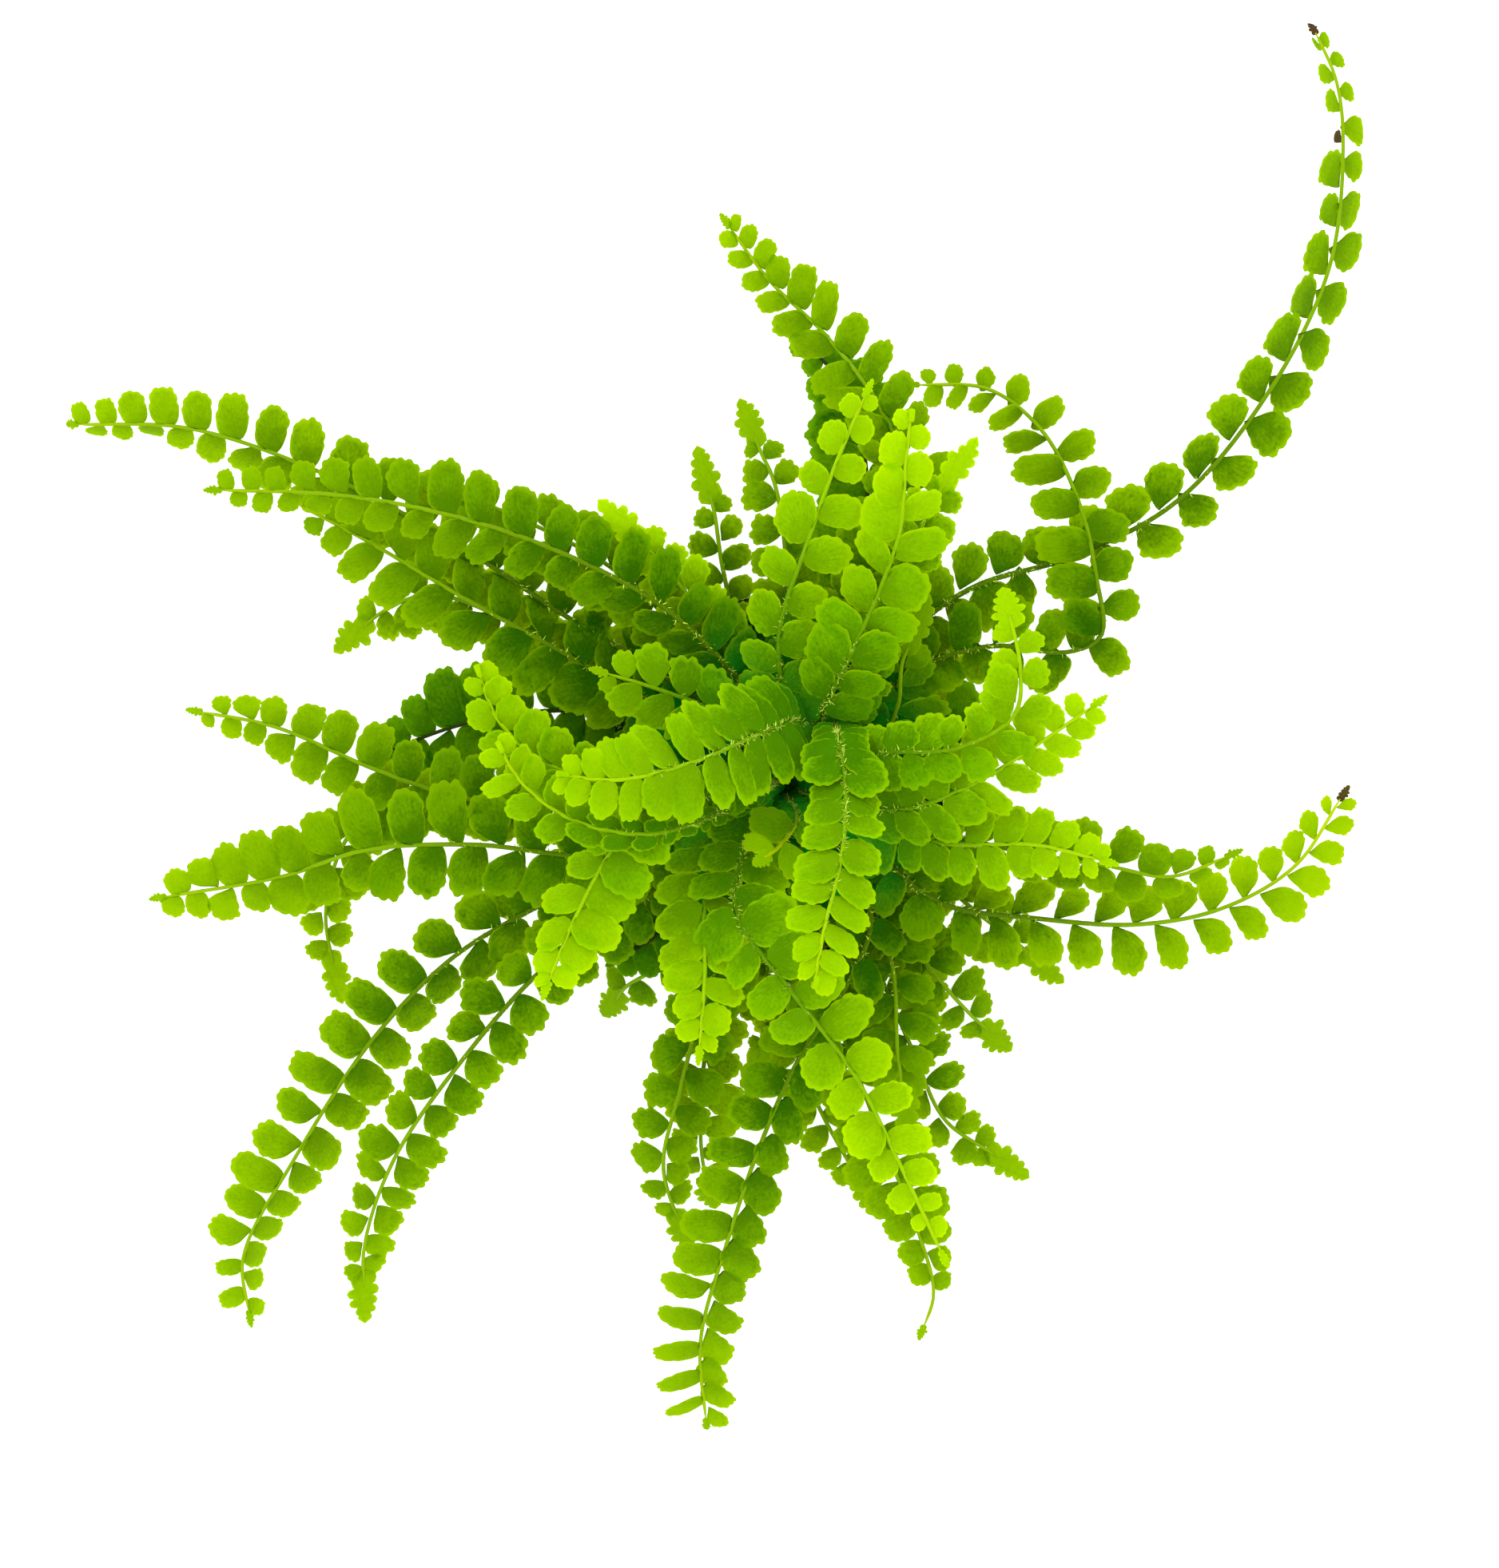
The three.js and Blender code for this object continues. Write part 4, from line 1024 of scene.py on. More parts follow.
@dataclass(frozen=True)
class RibFinish(Finish):
    """The finish of stalks and ribs: brown and scurfy at the foot, green towards the tip."""

    foot: Colour
    green: Colour
    turn: tuple[float, float]
    pale: Colour = (0.42, 0.56, 0.0)
    pale_from: tuple[float, float] = (0.55, 1.5)
    roughness: float = 0.5
    gloss: float = 0.03

    def shader(self, sheet: NodeSheet) -> Wire:
        """Draw the shader.

        Args:
            sheet: The sheet to draw on.

        Returns:
            The shader.
        """
        place = sheet.place()
        age = sheet.attribute("fresh")
        streak = sheet.noise(place, 900.0)
        share = (age.within(*self.turn) + (streak - 0.5) * 0.5).clamped()
        colour = sheet.blend(share, self.foot, self.green)
        colour = sheet.blend(age.within(*self.pale_from), colour, self.pale)
        return sheet.principled({
            "Base Color": colour,
            "Roughness": (self.roughness + (streak - 0.5) * 0.3).clamped(),
            "Specular IOR Level": self.gloss,
            "Normal": sheet.relief(streak, 0.5, 0.0001),
        })


@dataclass(frozen=True)
class ScaleFinish(Finish):
    """The finish of the papery golden scales on the stalks."""

    name: str = "golden_scale"
    pale: Colour = (0.62, 0.86, 0.07)
    tan: Colour = (0.3, 0.42, 0.02)
    roughness: float = 0.6
    gloss: float = 0.3

    def shader(self, sheet: NodeSheet) -> Wire:
        """Draw the shader.

        Args:
            sheet: The sheet to draw on.

        Returns:
            The shader.
        """
        mottle = sheet.noise(sheet.place(), 700.0, 1.0)
        colour = sheet.blend(mottle.within(0.35, 0.65), self.tan, self.pale)
        return sheet.principled({"Base Color": colour, "Roughness": self.roughness,
                                 "Specular IOR Level": self.gloss})


@dataclass(frozen=True)
class PotFinish(Finish):
    """The finish of the pot: black moulded plastic, dulled by handling and by dried water.

    splash_top and band_foot are heights in metres, and band_shadow is how far below the band
    the dust lies.
    """

    name: str = "black_moulded_plastic"
    black: Colour = (0.012, 0.0125, 0.013)
    dust: Colour = (0.14, 0.12, 0.095)
    roughness: float = 0.36
    splash_top: float = 0.012
    band_foot: float = 0.0498
    band_shadow: float = 0.0033

    def shader(self, sheet: NodeSheet) -> Wire:
        """Draw the shader.

        Args:
            sheet: The sheet to draw on.

        Returns:
            The shader.
        """
        place = sheet.place()
        _, _, height = sheet.parts(place)
        long_way = sheet.add("ShaderNodeMapping", None, {"Vector": place, "Scale": (1, 1, 0.12)})
        runs = sheet.noise(long_way.out("Vector"), 260.0)
        patch = sheet.noise(place, 90.0)
        fine = sheet.noise(place, 3500.0, 2.0)
        scuff = sheet.noise(place, 700.0, 6.0)
        low = 1 - height.within(0.001, self.splash_top)
        under_rim = (height.within(self.band_foot - self.band_shadow, self.band_foot)
                     * (1 - height.within(self.band_foot, self.band_foot + 0.0005)))
        dusty = (runs.within(0.52, 0.74) * 0.3 + low * patch.within(0.4, 0.65) * 0.55
                 + under_rim * 0.35 + scuff.within(0.62, 0.7) * 0.2)
        colour = sheet.blend(dusty.clamped() * 0.7, self.black, self.dust)
        return sheet.principled({
            "Base Color": colour,
            "Roughness": (self.roughness + dusty * 0.4 + (patch - 0.5) * 0.2).clamped(),
            "Normal": sheet.relief(fine * 0.6 + scuff * 0.4, 0.25, 0.00012),
        })


@dataclass(frozen=True)
class SoilFinish(Finish):
    """The finish of damp peat and bark with a film of mosses, whose green also paints the green
    light that filters down through the fronds.
    """

    name: str = "damp_peat"
    dark: Colour = (0.012, 0.008, 0.005)
    light: Colour = (0.07, 0.04, 0.02)
    # Green of the mosses, partly painted light: the green light that filters down through the
    # fronds.
    moss_and_painted_light: Colour = (0.004, 0.24, 0.006)

    def shader(self, sheet: NodeSheet) -> Wire:
        """Draw the shader.

        Args:
            sheet: The sheet to draw on.

        Returns:
            The shader.
        """
        place = sheet.place()
        tone = sheet.attribute("tone")
        cloud = sheet.noise(place, 350.0, 5.0)
        fibre = sheet.noise(place, 2200.0, 3.0)
        share = (cloud.within(0.35, 0.75) * 0.6 + tone * 0.5 + (fibre - 0.5) * 0.6).clamped()
        # The green film is partly mosses and partly painted light that filters down through the
        # fronds.
        moss_and_light_share = sheet.noise(place, 110.0, 4.0).within(0.3, 0.45) * (0.55 + fibre * 0.6)
        peat = sheet.blend(share, self.dark, self.light)
        return sheet.principled({
            "Base Color": sheet.blend(moss_and_light_share.clamped(), peat, self.moss_and_painted_light),
            "Roughness": (0.92 - cloud * 0.25).clamped(),
            "Normal": sheet.relief(cloud * 0.5 + fibre * 0.5, 0.8, 0.0006),
        })


LEAF_FINISHES = {
    Look.YOUNG: LeafFinish("young_leaf", (0.03, 0.17, 0.0), (0.145, 0.43, 0.0), (0.5, 0.86, 0.0),
                           (0.78, 0.9, 0.0), 0.46),
    Look.MATURE: LeafFinish("mature_leaf", (0.02, 0.12, 0.0), (0.125, 0.34, 0.0),
                            (0.32, 0.6, 0.0), (0.6, 0.75, 0.0), 0.56),
    Look.SHADED: LeafFinish("shaded_leaf", (0.008, 0.09, 0.0), (0.07, 0.25, 0.0),
                            (0.15, 0.4, 0.0), (0.46, 0.68, 0.0), 0.55),
}
RIB_FINISHES = {
    Look.YOUNG: RibFinish("young_rib", (0.07, 0.19, 0.0), (0.28, 0.52, 0.0), (0.2, 0.9)),
    Look.MATURE: RibFinish("mature_rib", (0.065, 0.14, 0.0), (0.18, 0.34, 0.0), (-0.1, 0.5)),
    Look.SHADED: RibFinish("shaded_rib", (0.025, 0.04, 0.004), (0.05, 0.12, 0.002), (0.3, 1.0)),
}


# Meshes

Pair = tuple[int, int]


@dataclass
class MeshSketch:
    """Points and faces of a mesh on the way, with numbers that its points carry."""

    points: list[Point3] = field(default_factory=list)
    faces: list[tuple[int, ...]] = field(default_factory=list)
    flat: list[tuple[float, float]] = field(default_factory=list)
    margin: list[float] = field(default_factory=list)
    creased: set[int] = field(default_factory=set)

    def add(self, point: Point3, flat: tuple[float, float] = (0.5, 0.5),
            margin: float = 0.0) -> int:
        """Add a point.

        Args:
            point: Its place.
            flat: Its place on the flat pattern.
            margin: How near it is to the edge, from 0 to 1.

        Returns:
            Its number.
        """
        self.points.append(point)
        self.flat.append(flat)
        self.margin.append(margin)
        return len(self.points) - 1

    def face(self, *corners: int, creased: bool = False) -> None:
        """Add a face, its corners seen anticlockwise from outside.

        Args:
            corners: The numbers of its points.
            creased: Whether it is shaded flat, with sharp edges.
        """
        if creased:
            self.creased.add(len(self.faces))
        self.faces.append(corners)

    def pair(self, middle: Point3, half: float, flat: tuple[float, float],
             margin: float) -> Pair:
        """Add the upper and the lower point of a blade, half its thickness from its middle."""
        x, y, z = middle
        return self.add((x, y, z + half), flat, margin), self.add((x, y, z - half), flat, margin)

    def rim(self, pairs: list[Pair]) -> None:
        """Close the edge of a blade with creased faces."""
        for a, b in zip(pairs, pairs[1:]):
            self.face(a[0], a[1], b[1], b[0], creased=True)

    def skin(self, rings: list[list[int]], capped: bool = False) -> None:
        """Join rings of points by faces.

        Args:
            rings: Each ring's points. A ring of one point is a pole.
            capped: Whether faces close the first and the last ring.
        """
        sides = max(len(ring) for ring in rings)
        for below, above in zip(rings, rings[1:]):
            for step in range(sides):
                after = (step + 1) % sides
                corners = [below[step % len(below)], below[after % len(below)],
                           above[after % len(above)], above[step % len(above)]]
                self.face(*dict.fromkeys(corners))
        if capped:
            self.face(*reversed(rings[0]))
            self.face(*rings[-1])

    def mirrored(self) -> "MeshSketch":
        """Mirror it across the rib, with its faces still pointing out."""
        return MeshSketch([(x, -y, z) for x, y, z in self.points],
                          [tuple(reversed(corners)) for corners in self.faces],
                          list(self.flat), list(self.margin), set(self.creased))

    def mesh(self, name: str) -> bpy.types.Mesh:
        """Make the Blender mesh.

        Args:
            name: Its name.

        Returns:
            The mesh.
        """
        mesh = bpy.data.meshes.new(name)
        mesh.from_pydata(self.points, [], self.faces)
        layer = mesh.uv_layers.new(name="leaf_uv")
        corners = [self.flat[loop.vertex_index] for loop in mesh.loops]
        layer.data.foreach_set("uv", np.array(corners, dtype=np.float32).ravel())
        margin = mesh.attributes.new("margin", "FLOAT", "POINT")
        margin.data.foreach_set("value", np.array(self.margin, dtype=np.float32))
        creased = [index in self.creased for index in range(len(self.faces))]
        mesh.polygons.foreach_set("use_smooth", [not flag for flag in creased])
        edges = {edge.key: edge for edge in mesh.edges}
        for polygon in mesh.polygons:
            if creased[polygon.index]:
                for key in polygon.edge_keys:
                    edges[key].use_edge_sharp = True
        mesh.update()
        return mesh


def new_object(name: str, mesh: bpy.types.Mesh) -> bpy.types.Object:
    """Put a mesh in the scene as an object at the origin.

    Args:
        name: The object's name.
        mesh: Its mesh.

    Returns:
        The object.
    """
    thing = bpy.data.objects.new(name, mesh)
    bpy.context.scene.collection.objects.link(thing)
    return thing


def drop(thing: bpy.types.Object) -> None:
    """Take an object away with its mesh.

    Args:
        thing: The object.
    """
    mesh = thing.data
    bpy.data.objects.remove(thing)
    bpy.data.meshes.remove(mesh)


def baked(carrier: bpy.types.Object, name: str) -> bpy.types.Object:
    """Turn what an object's modifiers make into a plain mesh object, and drop the carrier.

    Args:
        carrier: The object with the modifiers.
        name: The new object's name.

    Returns:
        The new object.
    """
    graph = bpy.context.evaluated_depsgraph_get()
    mesh = bpy.data.meshes.new_from_object(carrier.evaluated_get(graph))
    mesh.name = name
    carrier.modifiers.clear()
    drop(carrier)
    return new_object(name, mesh)


@dataclass
class DressingTree:
    """A geometry node tree with named inputs, which dresses carrier objects."""

    name: str
    inputs: dict[str, str]
    tree: bpy.types.NodeTree = field(init=False)
    sockets: dict[str, str] = field(init=False, default_factory=dict)
    sheet: NodeSheet = field(init=False)
    given: NodeHandle = field(init=False)

    def __post_init__(self) -> None:
        """Start the tree with its inputs, each with its kind of socket, and its output."""
        self.tree = bpy.data.node_groups.new(self.name, "GeometryNodeTree")
        self.tree.is_modifier = True
        face = self.tree.interface
        for name, kind in self.inputs.items():
            socket = face.new_socket(name, in_out="INPUT", socket_type=f"NodeSocket{kind}")
            self.sockets[name] = socket.identifier
        face.new_socket("Dressed", in_out="OUTPUT", socket_type="NodeSocketGeometry")
        self.sheet = NodeSheet(self.tree)
        self.given = self.sheet.add("NodeGroupInput")

    def grow(self, carrier: bpy.types.Object, values: dict[str, Any],
             name: str) -> bpy.types.Object:
        """Dress a carrier, and keep what comes of it as a plain mesh object.

        Args:
            carrier: The object that the tree reads.
            values: The tree's inputs by name.
            name: The new object's name.

        Returns:
            The new object.
        """
        modifier = carrier.modifiers.new("dressing", "NODES")
        modifier.node_group = self.tree
        for key, value in values.items():
            modifier[self.sockets[key]] = value
        return baked(carrier, name)


def lathe(profile: list[tuple[float, float]], sides: int) -> MeshSketch:
    """Turn an outline about the upright axis.

    Args:
        profile: Radius and height in millimetres, from the axis below to the axis above,
            seen anticlockwise.
        sides: How many steps it is turned in.

    Returns:
        The closed shape, in metres.
    """
    sketch = MeshSketch()
    turns = [2 * math.pi * step / sides for step in range(sides)]
    sketch.skin([[sketch.add((radius * MM * math.cos(t), radius * MM * math.sin(t), height * MM))
                  for t in (turns if radius else [0.0])] for radius, height in profile])
    return sketch


# Leaflets

class LeafKind(Enum):
    """The leaflet shapes that the fronds carry."""

    ROUND = "round"
    OVAL = "oval"
    OBLONG = "oblong"
    FAN = "fan"
    WEDGE = "wedge"
    CUT_TIP = "cut_tip"
    COIL = "coil"


class Hand(Enum):
    """The side of the rib that a leaflet stands on."""

    LEFT = "left"
    RIGHT = "right"


@dataclass(frozen=True)
class LeafletShape:
    """A leaflet one unit wide and one long, its foot at the origin and its tip along +Y.

    margin holds points of its edge from the side nearest the frond's tip round to the other.
    scallops is how many rounded teeth the edge has, and depth how deep the notches are.
    """

    margin: tuple[tuple[float, float], ...]
    foot: tuple[float, float]
    scallops: int
    depth: float
    sag: float = 0.12
    curl: float = 0.1
    ripple: float = 0.02
    thickness: float = 0.034
    teeth_from: float = 0.12
    inner: float = 0.6
    inner_margin: float = 0.36
    edge_thinning: float = 0.45
    waver: float = 0.018

    def height(self, u: float, v: float, variant: int) -> float:
        """Tell the height of the blade's middle at a place of one of the like leaflets."""
        wave = math.sin(5.1 * u + 2.3 * variant) * math.cos(4.3 * v + 1.7 * variant)
        return -self.sag * v * v - self.curl * u * u * (1.3 - 0.6 * v) + self.ripple * wave

    def edge(self, variant: int) -> list[tuple[float, float]]:
        """Trace the edge, three points for each tooth.

        Args:
            variant: Which of the like leaflets.

        Returns:
            The points of the edge.
        """
        corners = np.array([(u, v, 0.0) for u, v in self.margin])
        spline = Spline(corners)
        count = 3 * self.scallops
        line = spline.spaced(count)
        ahead = np.gradient(line, axis=0)
        outward = np.stack([ahead[:, 1], -ahead[:, 0]], axis=1)
        outward /= np.linalg.norm(outward, axis=1)[:, None]
        points = []
        for step, (u, v, _) in enumerate(line):
            tooth = 1.0 if step % 3 else 0.0
            room = min(1.0, max(0.0, (v - self.teeth_from) / 0.2))
            uneven = 0.5 + draw(variant, step // 3, 11)
            push = (self.depth * (tooth - 0.5) * uneven
                    + self.waver * math.sin(0.9 * step + 2.1 * variant)) * room
            points.append((u + push * outward[step, 0], v + push * outward[step, 1]))
        return points

    def sketch(self, variant: int) -> MeshSketch:
        """Build the leaflet as a thin closed blade.

        Args:
            variant: Which of the like leaflets.

        Returns:
            The leaflet of the left side.
        """
        sketch = MeshSketch()
        edge = self.edge(variant)
        fu, fv = self.foot

        def pair(u: float, v: float, margin: float) -> Pair:
            """Add the upper and lower point of the blade at one place."""
            half = self.thickness / 2 * (1 - self.edge_thinning * margin)
            return sketch.pair((u, v, self.height(u, v, variant)), half, (u + 0.5, v), margin)

        foot = pair(fu, fv, 0.0)
        outer = [pair(u, v, 1.0) for u, v in edge]
        notches = range(0, len(edge), 3)
        rings = [pair(fu + self.inner * (edge[k][0] - fu), fv + self.inner * (edge[k][1] - fv),
                      self.inner_margin) for k in notches]
        for tooth in range(self.scallops):
            near, far = rings[tooth], rings[tooth + 1]
            teeth = outer[3 * tooth: 3 * tooth + 4]
            sketch.face(foot[0], near[0], far[0])
            sketch.face(foot[1], far[1], near[1])
            sketch.face(near[0], *(p[0] for p in teeth), far[0])
            sketch.face(far[1], *(p[1] for p in reversed(teeth)), near[1])
        sketch.rim([foot, rings[0], *outer, rings[-1], foot])
        return sketch


LEAFLET_SHAPES = {
    LeafKind.ROUND: LeafletShape(
        ((0.0, 0.02), (0.26, 0.0), (0.45, 0.1), (0.54, 0.3), (0.54, 0.54), (0.44, 0.77),
         (0.26, 0.93), (0.02, 1.0), (-0.22, 0.95), (-0.4, 0.8), (-0.49, 0.58), (-0.49, 0.32),
         (-0.4, 0.1), (-0.28, 0.0)), (-0.18, -0.04), 11, 0.042),
    LeafKind.OVAL: LeafletShape(
        ((0.02, 0.03), (0.27, 0.03), (0.45, 0.17), (0.52, 0.44), (0.47, 0.7), (0.3, 0.91),
         (0.06, 1.0), (-0.18, 0.97), (-0.38, 0.82), (-0.48, 0.58), (-0.47, 0.28),
         (-0.33, 0.04)), (-0.18, -0.04), 10, 0.042),
    LeafKind.OBLONG: LeafletShape(
        ((-0.18, 0.01), (0.08, 0.0), (0.32, 0.05), (0.47, 0.2), (0.52, 0.46), (0.49, 0.72),
         (0.36, 0.92), (0.12, 1.0), (-0.15, 0.99), (-0.37, 0.89), (-0.49, 0.7), (-0.52, 0.42),
         (-0.49, 0.16), (-0.4, 0.01)), (-0.3, -0.05), 11, 0.046, teeth_from=0.3),
    LeafKind.FAN: LeafletShape(
        ((-0.22, 0.03), (0.0, 0.08), (0.26, 0.18), (0.45, 0.36), (0.53, 0.62), (0.42, 0.85),
         (0.2, 0.98), (-0.08, 1.0), (-0.34, 0.92), (-0.49, 0.74), (-0.49, 0.48),
         (-0.43, 0.2), (-0.37, 0.03)), (-0.31, -0.05), 10, 0.054, teeth_from=0.25),
    LeafKind.WEDGE: LeafletShape(
        ((0.1, 0.04), (0.32, 0.17), (0.48, 0.38), (0.53, 0.62), (0.43, 0.84), (0.2, 0.96),
         (0.0, 1.0), (-0.2, 0.97), (-0.38, 0.86), (-0.49, 0.66), (-0.47, 0.42),
         (-0.35, 0.18), (-0.22, 0.03)), (-0.1, -0.04), 8, 0.085, teeth_from=0.35),
}
KIND_VARIANTS = 4


@dataclass(frozen=True)
class CutTip:
    """The cut leaflet that ends a frond, one unit long and pointing along +X."""

    widths: tuple[float, ...] = (0.18, 0.24, 0.21, 0.16, 0.1)
    notch: float = 0.5
    notch_rise: float = 0.07
    offset: float = 0.4
    lobed_part: float = 0.92
    shortening: float = 0.86
    thickness: float = 0.026
    edge_thinning: float = 0.4
    sag: float = 0.1
    fold: float = 0.5

    @property
    def lobes(self) -> int:
        """How many lobes each side has."""
        return len(self.widths)

    def outline(self, variant: int, sign: int) -> list[tuple[float, float]]:
        """Trace one side's edge from foot to tip, four points for each lobe.

        The lobes of the right side stand between those of the left side.

        Args:
            variant: Which of the like tips.
            sign: 1 for the left side, -1 for the right side.

        Returns:
            The points of the edge.
        """
        points: list[tuple[float, float]] = []
        less, whole = self.shortening, self.lobed_part
        starts = [whole * (1 - less ** k) / (1 - less ** self.lobes)
                  for k in range(self.lobes + 1)]
        if sign < 0:
            starts[1:-1] = [a + self.offset * (b - a) for a, b in zip(starts[1:-1], starts[2:])]
        for lobe, usual in enumerate(self.widths):
            start, end = starts[lobe], starts[lobe + 1]
            width = usual * (0.85 + 0.3 * draw(variant, lobe, 12 + sign))
            root = 0.05 if lobe == 0 else (self.notch + self.notch_rise * lobe) * width
            for share, out in ((0.0, root), (0.22, 0.88 * width), (0.55, width),
                               (0.9, 0.88 * width)):
                points.append((start + share * (end - start), out))
        return points

    def sketch(self, variant: int) -> MeshSketch:
        """Build the tip as a thin closed blade.

        Args:
            variant: Which of the like tips.

        Returns:
            The tip.
        """
        sketch = MeshSketch()
        edges = {sign: self.outline(variant, sign) for sign in (1, -1)}

        def pair(x: float, y: float, margin: float) -> Pair:
            """Add the upper and lower point of the blade at one place."""
            middle = -self.sag * x * x - self.fold * y * y
            half = self.thickness / 2 * (1 - self.edge_thinning * margin)
            return sketch.pair((x, y, middle), half, (0.5 + y, 0.1 + 0.4 * x), margin)

        spine = [pair(edges[1][4 * k][0], 0.0, 0.0) for k in range(self.lobes)]
        spine.append(pair(1.0, 0.0, 1.0))
        sides = {}
        for sign, edge in edges.items():
            sides[sign] = [pair(x, sign * y, 1.0) for x, y in edge] + [spine[-1]]
            for lobe in range(self.lobes):
                ring = [spine[lobe], *reversed(sides[sign][4 * lobe: 4 * lobe + 5])]
                if lobe < self.lobes - 1:
                    ring.insert(1, spine[lobe + 1])
                upper = [p[0] for p in ring]
                lower = [p[1] for p in ring]
                sketch.face(*(upper if sign > 0 else upper[::-1]))
                sketch.face(*(lower[::-1] if sign > 0 else lower))
        sketch.rim([spine[0], *sides[-1], *reversed(sides[1][:-1]), spine[0]])
        return sketch


@dataclass(frozen=True)
class Coil:
    """The rolled tip of a growing frond, one unit across, rolling up and back from +X."""

    turns: float = 1.6
    steps: int = 22
    sides: int = 6
    thick: float = 0.15
    thin: float = 0.07
    stretch: float = 1.8
    wide: float = 0.42
    core: float = 0.06
    tightening: float = 0.8
    middle: tuple[float, float] = (0.1, 0.46)

    def sketch(self) -> MeshSketch:
        """Build the coil as a closed tapering tube.

        Returns:
            The coil.
        """
        sketch = MeshSketch()
        rings = []
        for step in range(self.steps + 1):
            share = step / self.steps
            turn = 2 * math.pi * self.turns * share
            radius = self.wide * (1 - share) ** self.tightening + self.core
            x, z = self.middle
            centre = Vector((x + radius * math.sin(turn), 0.0, z - radius * math.cos(turn)))
            outward = Vector((math.sin(turn), 0.0, -math.cos(turn)))
            tube = self.thick + (self.thin - self.thick) * share
            ring = []
            for corner in range(self.sides):
                angle = 2 * math.pi * corner / self.sides
                point = centre + outward * (tube * math.cos(angle))
                point.y += self.stretch * tube * math.sin(angle)
                ring.append(sketch.add(tuple(point), (0.5, 0.5), share))
            rings.append(ring)
        sketch.skin(rings, capped=True)
        return sketch


class LeafShelf:
    """Holds one mesh object for each leaflet shape, for the node tree to pick from."""

    def __init__(self) -> None:
        """Fill the shelf."""
        self.collection = bpy.data.collections.new("leaflet_shapes")
        self.places: dict[tuple[LeafKind, int, Hand], int] = {}
        for kind, shape in LEAFLET_SHAPES.items():
            for variant in range(KIND_VARIANTS):
                left = shape.sketch(variant)
                self.put(kind, variant, Hand.LEFT, left)
                self.put(kind, variant, Hand.RIGHT, left.mirrored())
        tip = CutTip()
        for variant in range(KIND_VARIANTS):
            self.put(LeafKind.CUT_TIP, variant, Hand.LEFT, tip.sketch(variant))
        self.put(LeafKind.COIL, 0, Hand.LEFT, Coil().sketch())

    def put(self, kind: LeafKind, variant: int, hand: Hand, sketch: MeshSketch) -> None:
        """Put one shape on the shelf.

        Args:
            kind: The kind of leaflet.
            variant: Which of the like ones.
            hand: The side of the rib it stands on.
            sketch: Its mesh.
        """
        number = len(self.places)
        name = f"shape_{number:02d}_{kind.value}_{variant}_{hand.value}"
        thing = bpy.data.objects.new(name, sketch.mesh(name))
        self.collection.objects.link(thing)
        self.places[kind, variant, hand] = number

    def pick(self, kind: LeafKind, variant: int = 0, hand: Hand = Hand.LEFT) -> int:
        """Tell the number by which the node tree picks a shape."""
        return self.places[kind, variant, hand]

    def clear(self) -> None:
        """Take the shapes away again."""
        for thing in list(self.collection.objects):
            drop(thing)
        bpy.data.collections.remove(self.collection)


# The fern's fronds

Run = tuple[float, ...]


@dataclass(frozen=True)
class Habit:
    """How one frond holds its leaflets. A run gives values from the first leaflet to the last.

    left and right are how far the leaflets of each side droop, in degrees, and twist how far
    they turn on edge. long is a share of the usual length, and shade is below 0 where other
    fronds keep the light off. spacing is a share of the usual pitch, and wide one of the width.
    lean turns the leaflets of each side towards the tip, in degrees. fresh is a share of the
    usual freshness, and hairy one of the usual number of scales. bare_tip and cut_tip, the
    length of the cut leaflet that ends a lobed frond, are in millimetres. crowding is the
    pitch near the foot as a share of that further out. dead holds where along the rib, from
    0 to 1, leaflets of the left side have withered.
    """

    left: Run = (8.0, 8.0)
    right: Run = (8.0, 8.0)
    twist: Run = (5.0, 8.0)
    long: Run = (1.0, 1.0)
    shade: Run = (-0.6, 0.2)
    spacing: float = 1.0
    wide: float = 1.0
    outer: Union[LeafKind, None] = None
    lean: tuple[float, float] = (0.0, 0.0)
    crowding: float = 1.0
    fresh: float = 1.0
    hairy: float = 1.0
    bare_tip: float = 0.0
    cut_tip: float = 12.5
    cut_wide: float = 1.0
    dead: Run = ()
    dead_tip: bool = False
    coiled: bool = False


